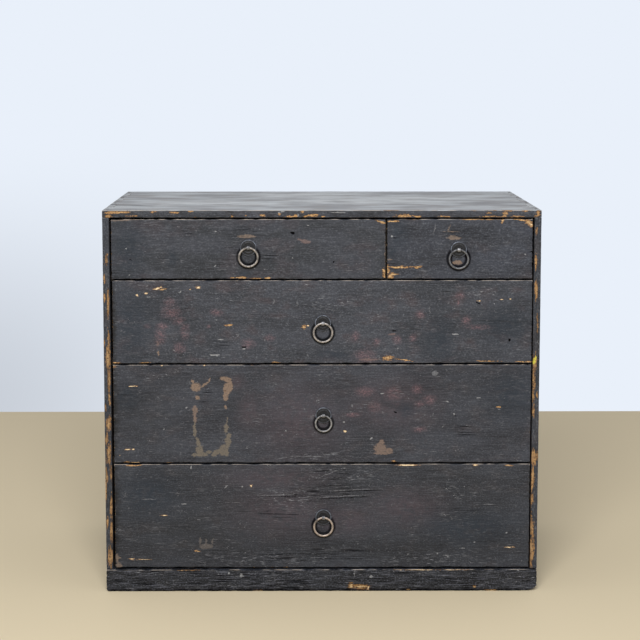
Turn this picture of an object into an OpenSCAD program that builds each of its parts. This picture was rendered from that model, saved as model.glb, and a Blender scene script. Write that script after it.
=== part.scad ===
// Low tansu chest: a softwood case on a plinth, with two drawers side by side over
// three full-width drawers, each pulled by an iron ring that hangs in a split pin.
// X runs to the right, Y to the back and Z up, and the drawers face -Y. The origin
// is on the floor, under the middle of the case.

/* [Case] */
// Width over the side boards
case_w = 750; // [650:1:850]
// Depth from the side boards' front edges to the back
case_d = 430; // [380:1:480]
// Thickness of the side boards
side_t = 12.5; // [11:0.5:18]
// Thickness of the top board
top_t = 13; // [11:0.5:20]
// Thickness of the bottom board
bottom_t = 12.5; // [10:0.5:18]
// Thickness of the shelves that the drawers slide on
shelf_t = 12; // [10:0.5:18]
// Thickness of the upright between the two top drawers
divider_t = 12; // [10:0.5:18]
// Thickness of the back boards
back_t = 7; // [5:0.5:10]
// Depth of the grooves that hold the shelves and the upright
groove_d = 5; // [3:0.5:6]
// Width of the rebates that hold the back boards and the bottom board
rebate_w = 6.5; // [5:0.5:8]
// Number of fingers in each joint between the top and a side
finger_count = 7; // [5:2:11]

/* [Base] */
// Height of the base rails
base_h = 39; // [30:1:60]
// How far the front rail stands out in front of the sides
base_proud = 3; // [0:0.5:6]
// How far each rail reaches under the bottom board
base_seat = 10; // [8:1:20]
// Radius of the front rail's worn lower corners
base_corner_r = 5; // [1:0.5:10]

/* [Drawer fronts] */
// Height of the fronts in the top row
top_row_h = 103; // [85:1:130]
// Height of the second row's front
second_row_h = 144; // [110:1:180]
// Height of the third row's front
third_row_h = 172; // [130:1:200]
// Height of the bottom row's front
bottom_row_h = 184; // [140:1:220]
// Distance from the left side board to the middle of the upright
wide_bay_w = 472.5; // [380:0.5:520]
// Thickness of the fronts
front_t = 18; // [14:0.5:24]
// How far the fronts stand back from the side boards' edges
front_recess = 1; // [0:0.5:4]
// Gap between one front and the next
front_gap = 2.2; // [1:0.1:3]
// How far a front reaches up over the shelf above it
front_lap = 3; // [1.5:0.5:4]
// Play between a drawer and the side board next to it
side_play = 2.4; // [1.5:0.1:4]
// How far the full-width drawers sit to the right of the middle
drawer_shift = 0.8; // [0:0.1:1.2]

/* [Drawer boxes] */
// Thickness of the drawers' side boards
box_side_t = 10; // [8:0.5:14]
// Thickness of the drawers' back boards
box_back_t = 10; // [8:0.5:14]
// Thickness of the drawers' bottom boards
box_bottom_t = 7; // [5:0.5:10]
// Depth of the housings in a front that hold its sides
housing_d = 10; // [8:0.5:12]
// Depth of the groove in a front that holds its bottom
bottom_groove_d = 6; // [4:0.5:8]
// Space over a drawer's sides
box_headroom = 6; // [3:0.5:15]
// Space behind a drawer's back
box_back_room = 8; // [3:0.5:30]

/* [Pulls] */
// Diameter of the round plates
plate_d = 28; // [22:0.5:40]
// Thickness of the round plates
plate_t = 1.2; // [0.8:0.1:2]
// Height of the raised rim on each plate
plate_rim_h = 0.6; // [0.3:0.1:1]
// Width of the raised rim on each plate
plate_rim_w = 1.8; // [1:0.1:3]
// Outside diameter of the rings
ring_d = 36; // [30:0.5:50]
// Thickness of the rings' wire
ring_wire = 4; // [3:0.1:5]
// Outside diameter of the third row's ring
odd_ring_d = 31; // [26:0.5:40]
// Thickness of the third row's ring
odd_ring_wire = 3.6; // [3:0.1:5]
// Width of the split pins
pin_w = 5; // [3:0.5:7]
// Thickness of the strip that the split pins are bent from
pin_strip_t = 1.2; // [0.8:0.1:1.6]
// Length of each leg that is turned over inside the drawer
pin_leaf_l = 14; // [8:1:20]
// Play of a ring's wire in the eye of its pin
eye_play = 0.5; // [0.4:0.1:1]
// Play of a pin in its slot
slot_play = 0.3; // [0.2:0.1:1]
// How far a pull strays from the middle of its front
pull_stray = 2.5; // [0:0.5:5]

/* [Nails and pegs] */
// Diameter of the iron nails
nail_d = 2.2; // [1.6:0.1:3]
// Length of the iron nails
nail_l = 25; // [20:1:35]
// Diameter of the nails' heads
nail_head_d = 4.6; // [3.4:0.1:6]
// Thickness of the nails' heads
nail_head_t = 1; // [0.6:0.1:1.5]
// Diameter of the wooden pegs
peg_d = 3; // [2:0.1:4]
// How far a peg goes into the second board
peg_bite = 10; // [8:0.5:14]
// Play round a nail or a peg in its hole
hole_play = 0.05; // [0.02:0.01:0.1]

/* [Hidden] */
$fn = 48;
DRAWERS = ["wide_drawer", "small_drawer", "second_drawer", "third_drawer", "bottom_drawer"];
DRAWER_PIECES = ["front", "left_side", "right_side", "back", "bottom", "pegs",
    "pull_plate", "pull_pin", "pull_ring"];

black_paint = "#414247";
dusty_paint = "#8f9192";
bare_wood = "#b08d63";
dark_iron = "#4b4a4a";
worn_iron = "#77716b";

// The case's main planes
y_front = -case_d / 2;
y_back = case_d / 2;
y_panel = y_back - back_t;
y_face = y_front + front_recess;
y_shelf = y_face + front_t;
inner_x = case_w / 2 - side_t;
panel_x = inner_x + rebate_w;
divider_x = wide_bay_w - inner_x;

// Rows are counted from 0 at the top to 3 at the bottom
row_h = [top_row_h, second_row_h, third_row_h, bottom_row_h];
last_row = len(row_h) - 1;
function front_z(row) = row == last_row ? base_h + front_gap
    : front_z(row + 1) + row_h[row + 1] + front_gap;
function front_top(row) = front_z(row) + row_h[row];
z_under = front_top(0) + front_gap;
z_top = z_under + top_t;
function shelf_z(row) = front_top(row + 1) - front_lap;
function floor_z(row) = row == last_row ? base_h + bottom_t : shelf_z(row) + shelf_t;
function ceiling_z(row) = row == 0 ? z_under : shelf_z(row - 1);
back_split_z = shelf_z(1) + shelf_t / 2;

// Drawers are counted from 0 in the order of their names
function row_of(i) = max(0, i - 1);
function front_left(i) = i == 1 ? divider_x + front_gap / 2
    : i == 0 ? side_play - inner_x : side_play + drawer_shift - inner_x;
function front_right(i) = i == 0 ? divider_x - front_gap / 2
    : i == 1 ? inner_x - side_play : inner_x - side_play + drawer_shift;
function box_left(i) = i == 1 ? divider_x + divider_t / 2 + side_play : front_left(i);
function box_right(i) = i == 0 ? divider_x - divider_t / 2 - side_play : front_right(i);
function box_z(i) = floor_z(row_of(i)) + box_bottom_t;
function box_top(i) = ceiling_z(row_of(i)) - box_headroom;
y_box_back = y_panel - box_back_room;
y_housing = y_shelf - housing_d;

// Each pull was set by hand, so it stands a little off the middle of its front
pull_offsets = pull_stray * [[0, 1], [-0.8, -0.4], [0.4, -0.8], [0.8, -1], [0.8, -0.8]];
function pull_x(i) = (front_left(i) + front_right(i)) / 2 + pull_offsets[i][0];
function pull_z(i) = (front_z(row_of(i)) + front_top(row_of(i))) / 2 + pull_offsets[i][1];
odd_ring_drawer = 3;
function wire_of(i) = i == odd_ring_drawer ? odd_ring_wire : ring_wire;
function ring_r(i) = ((i == odd_ring_drawer ? odd_ring_d : ring_d) - wire_of(i)) / 2;
function eye_hole_r(i) = wire_of(i) / 2 + eye_play;
function eye_r(i) = eye_hole_r(i) + pin_strip_t;
function eye_y(i) = y_face - plate_t - eye_r(i);

// Boards, nails and pegs

module board(low, high) {
    translate(low) cube(high - low);
}

// A nail with the top of its head at the origin, driven towards -Z
module nail(play = 0) {
    translate([0, 0, -nail_l]) cylinder(d = nail_d + 2 * play, h = nail_l);
    translate([0, 0, -nail_head_t]) cylinder(d = nail_head_d + 2 * play, h = nail_head_t);
}

// Places that spread evenly from one end of a length to the other
function spread(from, to, count) = [for (k = [0.5 : count - 0.5]) from + (to - from) * k / count];

// Nails through the back boards, into the sides, the top, two shelves and the bottom
back_nail_count = 5;
edge_nail_rows = [z_under + rebate_w / 2, shelf_z(0) + shelf_t / 2, shelf_z(2) + shelf_t / 2,
    base_h + bottom_t / 2];
module back_nails(play = 0) {
    for (z = edge_nail_rows) {
        for (x = spread(-inner_x, inner_x, back_nail_count)) {
            translate([x, y_back, z]) rotate([-90, 0, 0]) nail(play);
        }
    }
    for (side = [-1, 1]) {
        for (row = [0 : last_row]) {
            translate([side * (inner_x + rebate_w / 2), y_back, (floor_z(row) + ceiling_z(row)) / 2])
                rotate([-90, 0, 0]) nail(play);
        }
    }
}

// Nails through the side boards, into the shelves and the bottom
side_nail_count = 3;
module side_nails(play = 0) {
    heights = [shelf_z(0) + shelf_t / 2, shelf_z(1) + shelf_t / 2, shelf_z(2) + shelf_t / 2,
        base_h + bottom_t / 2];
    for (side = [-1, 1]) {
        for (z = heights) {
            for (y = spread(y_shelf, y_panel, side_nail_count)) {
                translate([side * case_w / 2, y, z]) rotate([0, side * 90, 0]) nail(play);
            }
        }
    }
}

// Nails down through the top's fingers, into the sides
finger_w = case_d / finger_count;
module top_nails(play = 0) {
    for (side = [-1, 1]) {
        for (k = [0 : 2 : finger_count - 1]) {
            translate([side * (case_w / 2 - side_t / 2), y_front + (k + 0.5) * finger_w, z_top])
                nail(play);
        }
    }
}

// Nails down through the bottom board, into the base rails
rail_nail_count = 4;
side_rail_nail_count = 4;
module base_nails(play = 0) {
    nail_z = base_h + bottom_t;
    for (x = spread(-inner_x, inner_x, rail_nail_count)) {
        translate([x, y_shelf + base_seat / 2, nail_z]) nail(play);
        translate([x, y_panel - base_seat / 2, nail_z]) nail(play);
    }
    for (side = [-1, 1]) {
        for (y = spread(y_shelf + base_seat, y_panel - base_seat, side_rail_nail_count)) {
            translate([side * (inner_x - base_seat / 2), y, nail_z]) nail(play);
        }
    }
}

module case_nails() {
    color(dark_iron) {
        back_nails();
        side_nails();
        top_nails();
        base_nails();
    }
}

// The case

// The space that the back boards fill
module back_panel(low_z, high_z) {
    board([-panel_x, y_panel, low_z], [panel_x, y_back, high_z]);
}

// The fingers of both side boards, which rise into the ends of the top board
module side_fingers() {
    for (side = [-1, 1]) {
        for (k = [1 : 2 : finger_count - 1]) {
            translate([side < 0 ? -case_w / 2 : inner_x, y_front + k * finger_w, z_under])
                cube([side_t, finger_w, top_t]);
        }
    }
}

module shelf_blank(row) {
    board([-inner_x - groove_d, y_shelf, shelf_z(row)],
        [inner_x + groove_d, y_panel, shelf_z(row) + shelf_t]);
}

module bottom_blank() {
    board([-panel_x, y_shelf, base_h], [panel_x, y_panel, base_h + bottom_t]);
}

module divider_blank() {
    board([divider_x - divider_t / 2, y_shelf, shelf_z(0) + shelf_t - groove_d],
        [divider_x + divider_t / 2, y_panel, z_under + groove_d]);
}

module side_board(side) {
    color(black_paint)
    difference() {
        intersection() {
            union() {
                board([-case_w / 2, y_front, base_h], [case_w / 2, y_back, z_under]);
                side_fingers();
            }
            board([side < 0 ? -case_w / 2 : inner_x, y_front, base_h],
                [side < 0 ? -inner_x : case_w / 2, y_back, z_top]);
        }
        back_panel(base_h, z_under + rebate_w);
        bottom_blank();
        for (row = [0 : last_row - 1]) {
            shelf_blank(row);
        }
        back_nails(hole_play);
        side_nails(hole_play);
        top_nails(hole_play);
    }
}

module left_side() {
    side_board(-1);
}

module right_side() {
    side_board(1);
}

module top_board() {
    color(dusty_paint)
    difference() {
        board([-case_w / 2, y_front, z_under], [case_w / 2, y_back, z_top]);
        side_fingers();
        back_panel(z_under, z_under + rebate_w);
        divider_blank();
        back_nails(hole_play);
        top_nails(hole_play);
    }
}

module bottom_board() {
    color(bare_wood)
    difference() {
        bottom_blank();
        back_nails(hole_play);
        side_nails(hole_play);
        base_nails(hole_play);
    }
}

module back_board_lower() {
    color(bare_wood)
    difference() {
        back_panel(base_h, back_split_z);
        back_nails(hole_play);
    }
}

module back_board_upper() {
    color(bare_wood)
    difference() {
        back_panel(back_split_z, z_under + rebate_w);
        back_nails(hole_play);
    }
}

module shelf(row) {
    color(bare_wood)
    difference() {
        shelf_blank(row);
        divider_blank();
        back_nails(hole_play);
        side_nails(hole_play);
    }
}

module drawer_divider() {
    color(bare_wood)
    difference() {
        divider_blank();
        back_nails(hole_play);
    }
}

// The base

// The front rail's outline seen from the front, with its lower corners worn round
module front_rail_outline() {
    difference() {
        translate([-case_w / 2, 0]) square([case_w, base_h]);
        for (side = [-1, 1]) {
            translate([side * (case_w / 2 - base_corner_r), base_corner_r])
                difference() {
                    translate([side < 0 ? -base_corner_r : 0, -base_corner_r]) square(base_corner_r);
                    circle(r = base_corner_r);
                }
        }
    }
}

module base_front_rail() {
    color(black_paint)
    difference() {
        translate([0, y_shelf + base_seat, 0]) rotate([90, 0, 0])
            linear_extrude(y_shelf + base_seat - y_front + base_proud) front_rail_outline();
        base_nails(hole_play);
    }
}

module base_back_rail() {
    color(black_paint)
    difference() {
        board([-case_w / 2, y_panel - base_seat, 0], [case_w / 2, y_back, base_h]);
        base_nails(hole_play);
    }
}

module base_side_rail(side) {
    color(black_paint)
    difference() {
        board([side < 0 ? -case_w / 2 : inner_x - base_seat, y_shelf + base_seat, 0],
            [side < 0 ? base_seat - inner_x : case_w / 2, y_panel - base_seat, base_h]);
        base_nails(hole_play);
    }
}

// The drawers

module box_side_blank(i, side) {
    x = side < 0 ? box_left(i) : box_right(i) - box_side_t;
    board([x, y_housing, box_z(i)], [x + box_side_t, y_box_back, box_top(i)]);
}

module box_bottom_blank(i) {
    board([box_left(i), y_shelf - bottom_groove_d, floor_z(row_of(i))],
        [box_right(i), y_box_back, box_z(i)]);
}

// A peg from the origin towards +X
module peg(length, play) {
    rotate([0, 90, 0]) cylinder(d = peg_d + 2 * play, h = length);
}

// Pegs from a front's ends through the sides that it houses, and from the sides into the back
end_peg_count = 3;
module end_pegs(i, play = 0) {
    for (z = spread(box_z(i), box_top(i), end_peg_count)) {
        left_lap = box_left(i) - front_left(i);
        right_lap = front_right(i) - box_right(i);
        translate([front_left(i), y_shelf - housing_d / 2, z])
            peg(left_lap + box_side_t + peg_bite, play);
        translate([front_right(i), y_shelf - housing_d / 2, z]) mirror([1, 0, 0])
            peg(right_lap + box_side_t + peg_bite, play);
        translate([box_left(i), y_box_back - box_back_t / 2, z])
            peg(box_side_t + peg_bite, play);
        translate([box_right(i), y_box_back - box_back_t / 2, z]) mirror([1, 0, 0])
            peg(box_side_t + peg_bite, play);
    }
}

// Pegs up through the bottom, into the sides and the back
side_peg_count = 4;
back_peg_count = 4;
module bottom_pegs(i, play = 0) {
    places = [
        for (y = spread(y_shelf, y_box_back - box_back_t, side_peg_count))
            for (x = [box_left(i) + box_side_t / 2, box_right(i) - box_side_t / 2]) [x, y],
        for (x = spread(box_left(i) + box_side_t, box_right(i) - box_side_t, back_peg_count))
            [x, y_box_back - box_back_t / 2]
    ];
    for (place = places) {
        translate([place[0], place[1], floor_z(row_of(i))])
            cylinder(d = peg_d + 2 * play, h = box_bottom_t + peg_bite);
    }
}

// The slot that a pull's pin passes through
module pin_slot(i) {
    slot_w = pin_w + 2 * slot_play;
    slot_h = 2 * (pin_strip_t + slot_play);
    translate([pull_x(i) - slot_w / 2, y_face - plate_t - plate_rim_h, pull_z(i) - slot_h / 2])
        cube([slot_w, plate_rim_h + plate_t + front_t, slot_h]);
}

module drawer_front(i) {
    color(black_paint)
    difference() {
        board([front_left(i), y_face, front_z(row_of(i))],
            [front_right(i), y_shelf, front_top(row_of(i))]);
        box_side_blank(i, -1);
        box_side_blank(i, 1);
        box_bottom_blank(i);
        pin_slot(i);
        end_pegs(i, hole_play);
    }
}

module drawer_side(i, side) {
    color(bare_wood)
    difference() {
        box_side_blank(i, side);
        end_pegs(i, hole_play);
        bottom_pegs(i, hole_play);
    }
}

module drawer_back(i) {
    color(bare_wood)
    difference() {
        board([box_left(i) + box_side_t, y_box_back - box_back_t, box_z(i)],
            [box_right(i) - box_side_t, y_box_back, box_top(i)]);
        end_pegs(i, hole_play);
        bottom_pegs(i, hole_play);
    }
}

module drawer_bottom(i) {
    color(bare_wood)
    difference() {
        box_bottom_blank(i);
        bottom_pegs(i, hole_play);
    }
}

module drawer_pegs(i) {
    color(bare_wood) {
        end_pegs(i);
        bottom_pegs(i);
    }
}

// The pulls

// A flat round plate with a raised rim, and a slot for the pin
module pull_plate(i) {
    rim_r = plate_d / 2 - plate_rim_w;
    color(dark_iron)
    difference() {
        translate([pull_x(i), y_face, pull_z(i)]) rotate([90, 0, 0])
            rotate_extrude($fn = 96)
            polygon([[0, 0], [plate_d / 2, 0], [plate_d / 2, plate_t + plate_rim_h],
                [rim_r, plate_t + plate_rim_h], [rim_r, plate_t], [0, plate_t]]);
        pin_slot(i);
    }
}

// A strip bent to an eye, with its two legs through the front and turned over inside
module pull_pin(i) {
    color(dark_iron)
    translate([pull_x(i) - pin_w / 2, eye_y(i), pull_z(i)])
    difference() {
        union() {
            rotate([0, 90, 0]) cylinder(r = eye_r(i), h = pin_w);
            translate([0, 0, -pin_strip_t])
                cube([pin_w, y_shelf + pin_strip_t - eye_y(i), 2 * pin_strip_t]);
            translate([0, y_shelf - eye_y(i), -pin_leaf_l])
                cube([pin_w, pin_strip_t, 2 * pin_leaf_l]);
        }
        rotate([0, 90, 0]) cylinder(r = eye_hole_r(i), h = pin_w);
    }
}

module pull_ring(i) {
    color(worn_iron)
    translate([pull_x(i), eye_y(i), pull_z(i) - ring_r(i)]) rotate([90, 0, 0])
        rotate_extrude($fn = 96) translate([ring_r(i), 0]) circle(d = wire_of(i), $fn = 24);
}

left_side();
right_side();
top_board();
bottom_board();
back_board_lower();
back_board_upper();
shelf(0);  // shelf_upper
shelf(1);  // shelf_middle
shelf(2);  // shelf_lower
drawer_divider();
base_front_rail();
base_back_rail();
base_side_rail(-1);  // base_left_rail
base_side_rail(1);  // base_right_rail
case_nails();
for (i = [0 : len(DRAWERS) - 1]) {
    drawer_front(i);
    drawer_side(i, -1);
    drawer_side(i, 1);
    drawer_back(i);
    drawer_bottom(i);
    drawer_pegs(i);
    pull_plate(i);
    pull_pin(i);
    pull_ring(i);
}
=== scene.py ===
# %% [markdown]
# # A low tansu chest in worn black paint
# Five drawers in a thin softwood case, each with an iron ring on a round plate. The solids
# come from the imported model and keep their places. This lesson gives each board its raised
# grain and worn edges, forges the pulls, and paints everything with procedural materials.

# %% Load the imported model
import math
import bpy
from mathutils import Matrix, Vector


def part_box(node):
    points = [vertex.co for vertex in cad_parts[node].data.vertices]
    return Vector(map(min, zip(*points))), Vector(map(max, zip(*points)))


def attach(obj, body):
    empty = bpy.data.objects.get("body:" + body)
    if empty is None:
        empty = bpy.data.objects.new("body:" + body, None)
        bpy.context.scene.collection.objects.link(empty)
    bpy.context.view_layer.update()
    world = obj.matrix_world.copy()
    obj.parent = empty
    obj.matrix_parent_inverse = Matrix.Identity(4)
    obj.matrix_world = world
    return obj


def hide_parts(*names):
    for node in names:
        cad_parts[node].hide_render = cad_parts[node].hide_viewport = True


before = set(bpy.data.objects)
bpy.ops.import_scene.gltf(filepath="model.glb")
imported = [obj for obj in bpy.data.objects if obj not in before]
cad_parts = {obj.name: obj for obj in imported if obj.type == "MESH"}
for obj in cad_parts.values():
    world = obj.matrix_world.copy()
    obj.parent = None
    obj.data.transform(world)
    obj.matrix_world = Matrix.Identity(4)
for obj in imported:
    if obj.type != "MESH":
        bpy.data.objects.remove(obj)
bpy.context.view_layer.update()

from types import SimpleNamespace

import bmesh
import bpy
from mathutils import Vector

# %% [markdown]
# ## Small helpers
# All measures below are in millimetres, and Blender works in metres. The other helpers make one
# object the only one selected, and select faces or edges by a rule, because an operator acts on
# whatever is selected.

# %% Units and selection
MM = 0.001
X, Y, Z = range(3)
SHARP = math.radians(40)    # faces that meet at more than this keep an edge


def only(piece):
    """Makes a piece the only selected object, and the active one."""
    bpy.ops.object.select_all(action="DESELECT")
    piece.select_set(True)
    bpy.context.view_layer.objects.active = piece


def pick(piece, kind, rule):
    """In edit mode, selects only those edges or faces that pass a rule."""
    bpy.ops.mesh.select_mode(type={"edges": "EDGE", "faces": "FACE"}[kind])
    bpy.ops.mesh.select_all(action="DESELECT")
    shape = bmesh.from_edit_mesh(piece.data)
    for part in getattr(shape, kind):
        if rule(part):
            part.select_set(True)
    bmesh.update_edit_mesh(piece.data)


def runs_along(axis, least):
    """A rule for edges that run along an axis and are longer than least."""
    def rule(edge):
        way = edge.verts[1].co - edge.verts[0].co
        return abs(way[axis]) > least and way.length - abs(way[axis]) < 1e-6
    return rule


def faces_to(axis, sign, also=lambda middle: True):
    """A rule for faces that look along an axis and whose middle passes one more rule."""
    return lambda face: face.normal[axis] * sign > 0.9 and also(face.calc_center_median())


def extrude(*shift):
    """Pulls the selected faces out by a shift in X, Y and Z."""
    bpy.ops.mesh.extrude_region_move(TRANSFORM_OT_translate={"value": shift})


# %% [markdown]
# ## Boards that look sawn and worn
# The real boards are planed softwood whose soft early wood has shrunk, so the hard lines stand
# up, and whose edges are rubbed round. A flat box with a picture of this would look flat
# from the side, so each board is cut into narrow cells along its grain, its arrises are bevelled,
# and Displace modifiers sink the surface. Their noise is stretched along the grain by an Empty.
# They only sink it, never raise it, so no board grows past its size.

# %% Start a board and cut it into cells
CELL_L, CELL_W = 6 * MM, 2 * MM     # a cell along and across the grain
LONG = 20 * MM                      # shorter edges, those inside a joint, aren't cut


def block(name, low, high):
    """A box from one corner to the other, with its place in its mesh."""
    bpy.ops.mesh.primitive_cube_add(size=1, location=(low + high) / 2)
    piece = bpy.context.object
    piece.name = piece.data.name = name
    piece.scale = high - low
    bpy.ops.object.transform_apply()
    return piece


def cut_cells(piece, axis, step):
    """Cuts every long edge along an axis into steps of about one cell."""
    pick(piece, "edges", runs_along(axis, LONG))
    shape = bmesh.from_edit_mesh(piece.data)
    longest = max(edge.calc_length() for edge in shape.edges if edge.select)
    bpy.ops.mesh.subdivide(number_cuts=max(1, round(longest / step) - 1))


def is_arris(edge):
    return len(edge.link_faces) == 2 and edge.is_convex and edge.calc_face_angle() > 0.8


def outer_arris(low, high):
    """A rule for arrises where two sides of a box meet, unlike the edges inside a joint."""
    def rule(edge):
        sides = sum(all(abs(vert.co[axis] - corner[axis]) < 0.05 * MM for vert in edge.verts)
                    for axis in range(3) for corner in (low, high))
        return sides == 2 and is_arris(edge)
    return rule


# %% [markdown]
# The arrises could be rounded by a Bevel modifier, but the chips need them as a vertex group, so
# the bevel is made in Edit mode, where the new faces stay selected. Three clouds then sink the
# board: a slow one as it warped, a fine one as its early wood shrank, and one for the chips.

# %% Round the arrises and sink the grain
def clouds(name, cell, octaves=2):
    """A cloud texture for Displace, with cells of a real size."""
    texture = bpy.data.textures.new(name, "CLOUDS")
    texture.noise_scale, texture.noise_depth = cell, octaves
    return texture


grain_noise = clouds("grain_noise", 3.4 * MM)
warp_noise = clouds("warp_noise", 60 * MM)
hammer_noise = clouds("hammer_noise", 5 * MM)
chip_noise = clouds("chip_noise", 3.2 * MM, 1)
chip_noise.use_color_ramp = True
for stop, position, level in ((0, 0.5, 1), (1, 0.66, 0)):
    chip_noise.color_ramp.elements[stop].position = position
    chip_noise.color_ramp.elements[stop].color = (level, level, level, 1)


def sink(piece, texture, depth, along=X, stretch=1, group="", floor=0.0):
    """Sinks a surface by a noise that is stretched along the grain, never raising it."""
    guide = bpy.data.objects.new("grain_guide", None)
    bpy.context.collection.objects.link(guide)
    guide.scale[along] = stretch
    bpy.context.view_layer.update()
    only(piece)
    dent = piece.modifiers.new("dent", "DISPLACE")
    dent.texture = texture
    dent.texture_coords = "OBJECT"
    dent.texture_coords_object = guide
    dent.strength = depth
    dent.mid_level = 1 + floor
    dent.vertex_group = group
    bpy.ops.object.modifier_apply(modifier=dent.name)
    bpy.data.objects.remove(guide)


def wear(piece, along, arris=1.0 * MM, chip=0.9 * MM, grain=0.3 * MM, warp=0.35 * MM,
         rule=is_arris):
    """Rounds and chips a board's arrises, and gives its faces raised grain."""
    pick(piece, "edges", rule)
    bpy.ops.mesh.bevel(offset=arris, segments=2, affect="EDGES")
    bpy.ops.object.vertex_group_assign_new()
    piece.vertex_groups.active.name = "arris"
    bpy.ops.object.mode_set(mode="OBJECT")
    sink(piece, warp_noise, warp, along, 3)
    sink(piece, grain_noise, grain, along, 32, floor=0.3)
    sink(piece, chip_noise, chip, along, 4, group="arris")
    bpy.ops.object.shade_smooth_by_angle(angle=SHARP)


# %% [markdown]
# A neighbour that is let into a board gets its pocket by a Boolean cut, as a chisel would make it.
# The cutter is the neighbour's own box, and where it is flush with the board it reaches past it,
# because two faces in one plane would flicker.

# %% Pockets for the neighbours
def cut_out(piece, cutter):
    """Cuts the shape of a cutter out of a piece."""
    only(piece)
    chisel = piece.modifiers.new("chisel", "BOOLEAN")
    chisel.operation = "DIFFERENCE"
    chisel.solver = "MANIFOLD"
    chisel.object = cutter
    bpy.ops.object.modifier_apply(modifier=chisel.name)


FLUSH, PAST = 0.2 * MM, 1 * MM      # how near counts as flush, and how far the cutter then goes


def pocket(piece, board_node, *neighbours):
    """Cuts the boxes of the neighbours out of a board."""
    board_low, board_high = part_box(board_node)
    for neighbour in neighbours:
        low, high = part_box(neighbour)
        for axis in range(3):
            if low[axis] < board_low[axis] + FLUSH:
                low[axis] = board_low[axis] - PAST
            if high[axis] > board_high[axis] - FLUSH:
                high[axis] = board_high[axis] + PAST
        cutter = block("cutter", low, high)
        cut_out(piece, cutter)
        bpy.data.meshes.remove(cutter.data)


def plain_board(node, along, width_axis, **how_worn):
    """A board in place of a node: cells along and across the grain, then wear."""
    low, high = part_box(node)
    piece = block(f"{node}_worn", low, high)
    bpy.ops.object.mode_set(mode="EDIT")
    cut_cells(piece, along, CELL_L)
    cut_cells(piece, width_axis, CELL_W)
    wear(piece, along, **how_worn)
    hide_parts(node)
    return piece


# %% [markdown]
# ## The five drawer fronts
# Each front is one board with its grain from side to side. Its pockets hold the drawer's two
# sides and its bottom.

# %% Model the fronts
DRAWERS = ["wide_drawer", "small_drawer", "second_drawer", "third_drawer", "bottom_drawer"]
fronts = {}
for drawer in DRAWERS:
    node = f"{drawer}_front"
    front = plain_board(node, X, Z)
    pocket(front, node, f"{drawer}_left_side", f"{drawer}_right_side", f"{drawer}_bottom")
    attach(front, drawer)
    fronts[drawer] = front
    print(front.name, len(front.data.polygons), "faces")

# %% [markdown]
# ## The case
# Top and sides meet in fingers. The top's body is cut into seven strips at each end, and
# every other strip is pulled out by one board's thickness, which is how the joint is sawn. The
# sides' fingers fill the spaces between them.

# %% Model the top and the sides with their fingers
FINGERS = 7
top_low, top_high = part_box("top_board")
side_low, side_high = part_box("left_side")
side_t = side_high[X] - side_low[X]
top_t = top_high[Z] - top_low[Z]
finger_w = (top_high[Y] - top_low[Y]) / FINGERS


def in_fingers(first):
    """A rule for places in every other finger, counted from the front."""
    return lambda place: int((place[Y] - top_low[Y]) / finger_w) % 2 == first


def fingered_board(node, low, high, along, signs, length, first, *neighbours):
    """A board whose every other strip is pulled out by a length at one or both ends."""
    piece = block(f"{node}_worn", low, high)
    bpy.ops.object.mode_set(mode="EDIT")
    pick(piece, "edges", runs_along(Y, LONG))
    bpy.ops.mesh.subdivide(number_cuts=FINGERS - 1)
    for sign in signs:
        pick(piece, "faces", faces_to(along, sign, in_fingers(first)))
        extrude(*[sign * length if axis == along else 0 for axis in range(3)])
    cut_cells(piece, along, CELL_L)
    cut_cells(piece, Y, CELL_W)
    wear(piece, along, rule=outer_arris(*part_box(node)))
    pocket(piece, node, *neighbours)
    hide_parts(node)
    return piece


inset = Vector((side_t, 0, 0))
top = fingered_board("top_board", top_low + inset, top_high - inset, X, (-1, 1), side_t, 0,
                     "back_board_upper", "drawer_divider")
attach(top, "case")

sides = {}
for node in ("left_side", "right_side"):
    low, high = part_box(node)
    side = fingered_board(node, low, high - Vector((0, 0, top_t)), Z, (1,), top_t, 1,
                          "back_board_upper", "back_board_lower", "bottom_board",
                          "shelf_upper", "shelf_middle", "shelf_lower")
    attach(side, "case")
    sides[node] = side
print(top.name, len(top.data.polygons), "faces;", side.name, len(side.data.polygons), "faces")

# %% [markdown]
# The plinth is four rails on edge. Feet and brooms have worn it more than the case, so its
# arrises are rounder and its chips deeper than those of the other boards.

# %% Model the base
rails = {}
for node in ("base_front_rail", "base_back_rail", "base_left_rail", "base_right_rail"):
    along = X if "front" in node or "back" in node else Y
    rails[node] = plain_board(node, along, Z, arris=1.2 * MM, chip=1.2 * MM)
    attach(rails[node], "case")

# %% [markdown]
# The base's lower front corners are worn round, the right one most. A block with a round hollow
# cuts them. It leans outward and down, so that the wear runs out a few centimetres behind.

# %% Wear the base's lower corners round
def round_corner(side, across, up, run):
    """Rounds a lower front corner of the base by as much across and up."""
    low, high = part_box("base_front_rail")
    cutter = block("cutter", Vector((-1, -0.3, -1)), Vector((1, 1, 1)))
    bpy.ops.mesh.primitive_cylinder_add(vertices=96, radius=1, depth=4, location=(-side, 0, 1),
                                        rotation=(math.radians(90), 0, 0))
    hollow = bpy.context.object
    cut_out(cutter, hollow)
    bpy.data.meshes.remove(hollow.data)
    cutter.scale = (across, run, up)
    cutter.rotation_euler = (-math.atan(up / run), 0, -side * math.atan(across / run))
    cutter.location = (high[X] if side > 0 else low[X], low[Y], low[Z])
    for node in ("base_front_rail", f"base_{'right' if side > 0 else 'left'}_rail"):
        cut_out(rails[node], cutter)
        bpy.ops.object.shade_smooth_by_angle(angle=SHARP)
        print(node, len(rails[node].data.polygons), "faces")
    bpy.data.meshes.remove(cutter.data)


round_corner(1, 30 * MM, 13 * MM, 200 * MM)
round_corner(-1, 8 * MM, 8 * MM, 90 * MM)

# %% [markdown]
# Two thin boards close the back. Nobody saw them, so they were planed once and left bare, and
# their edges are hardly worn.

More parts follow.
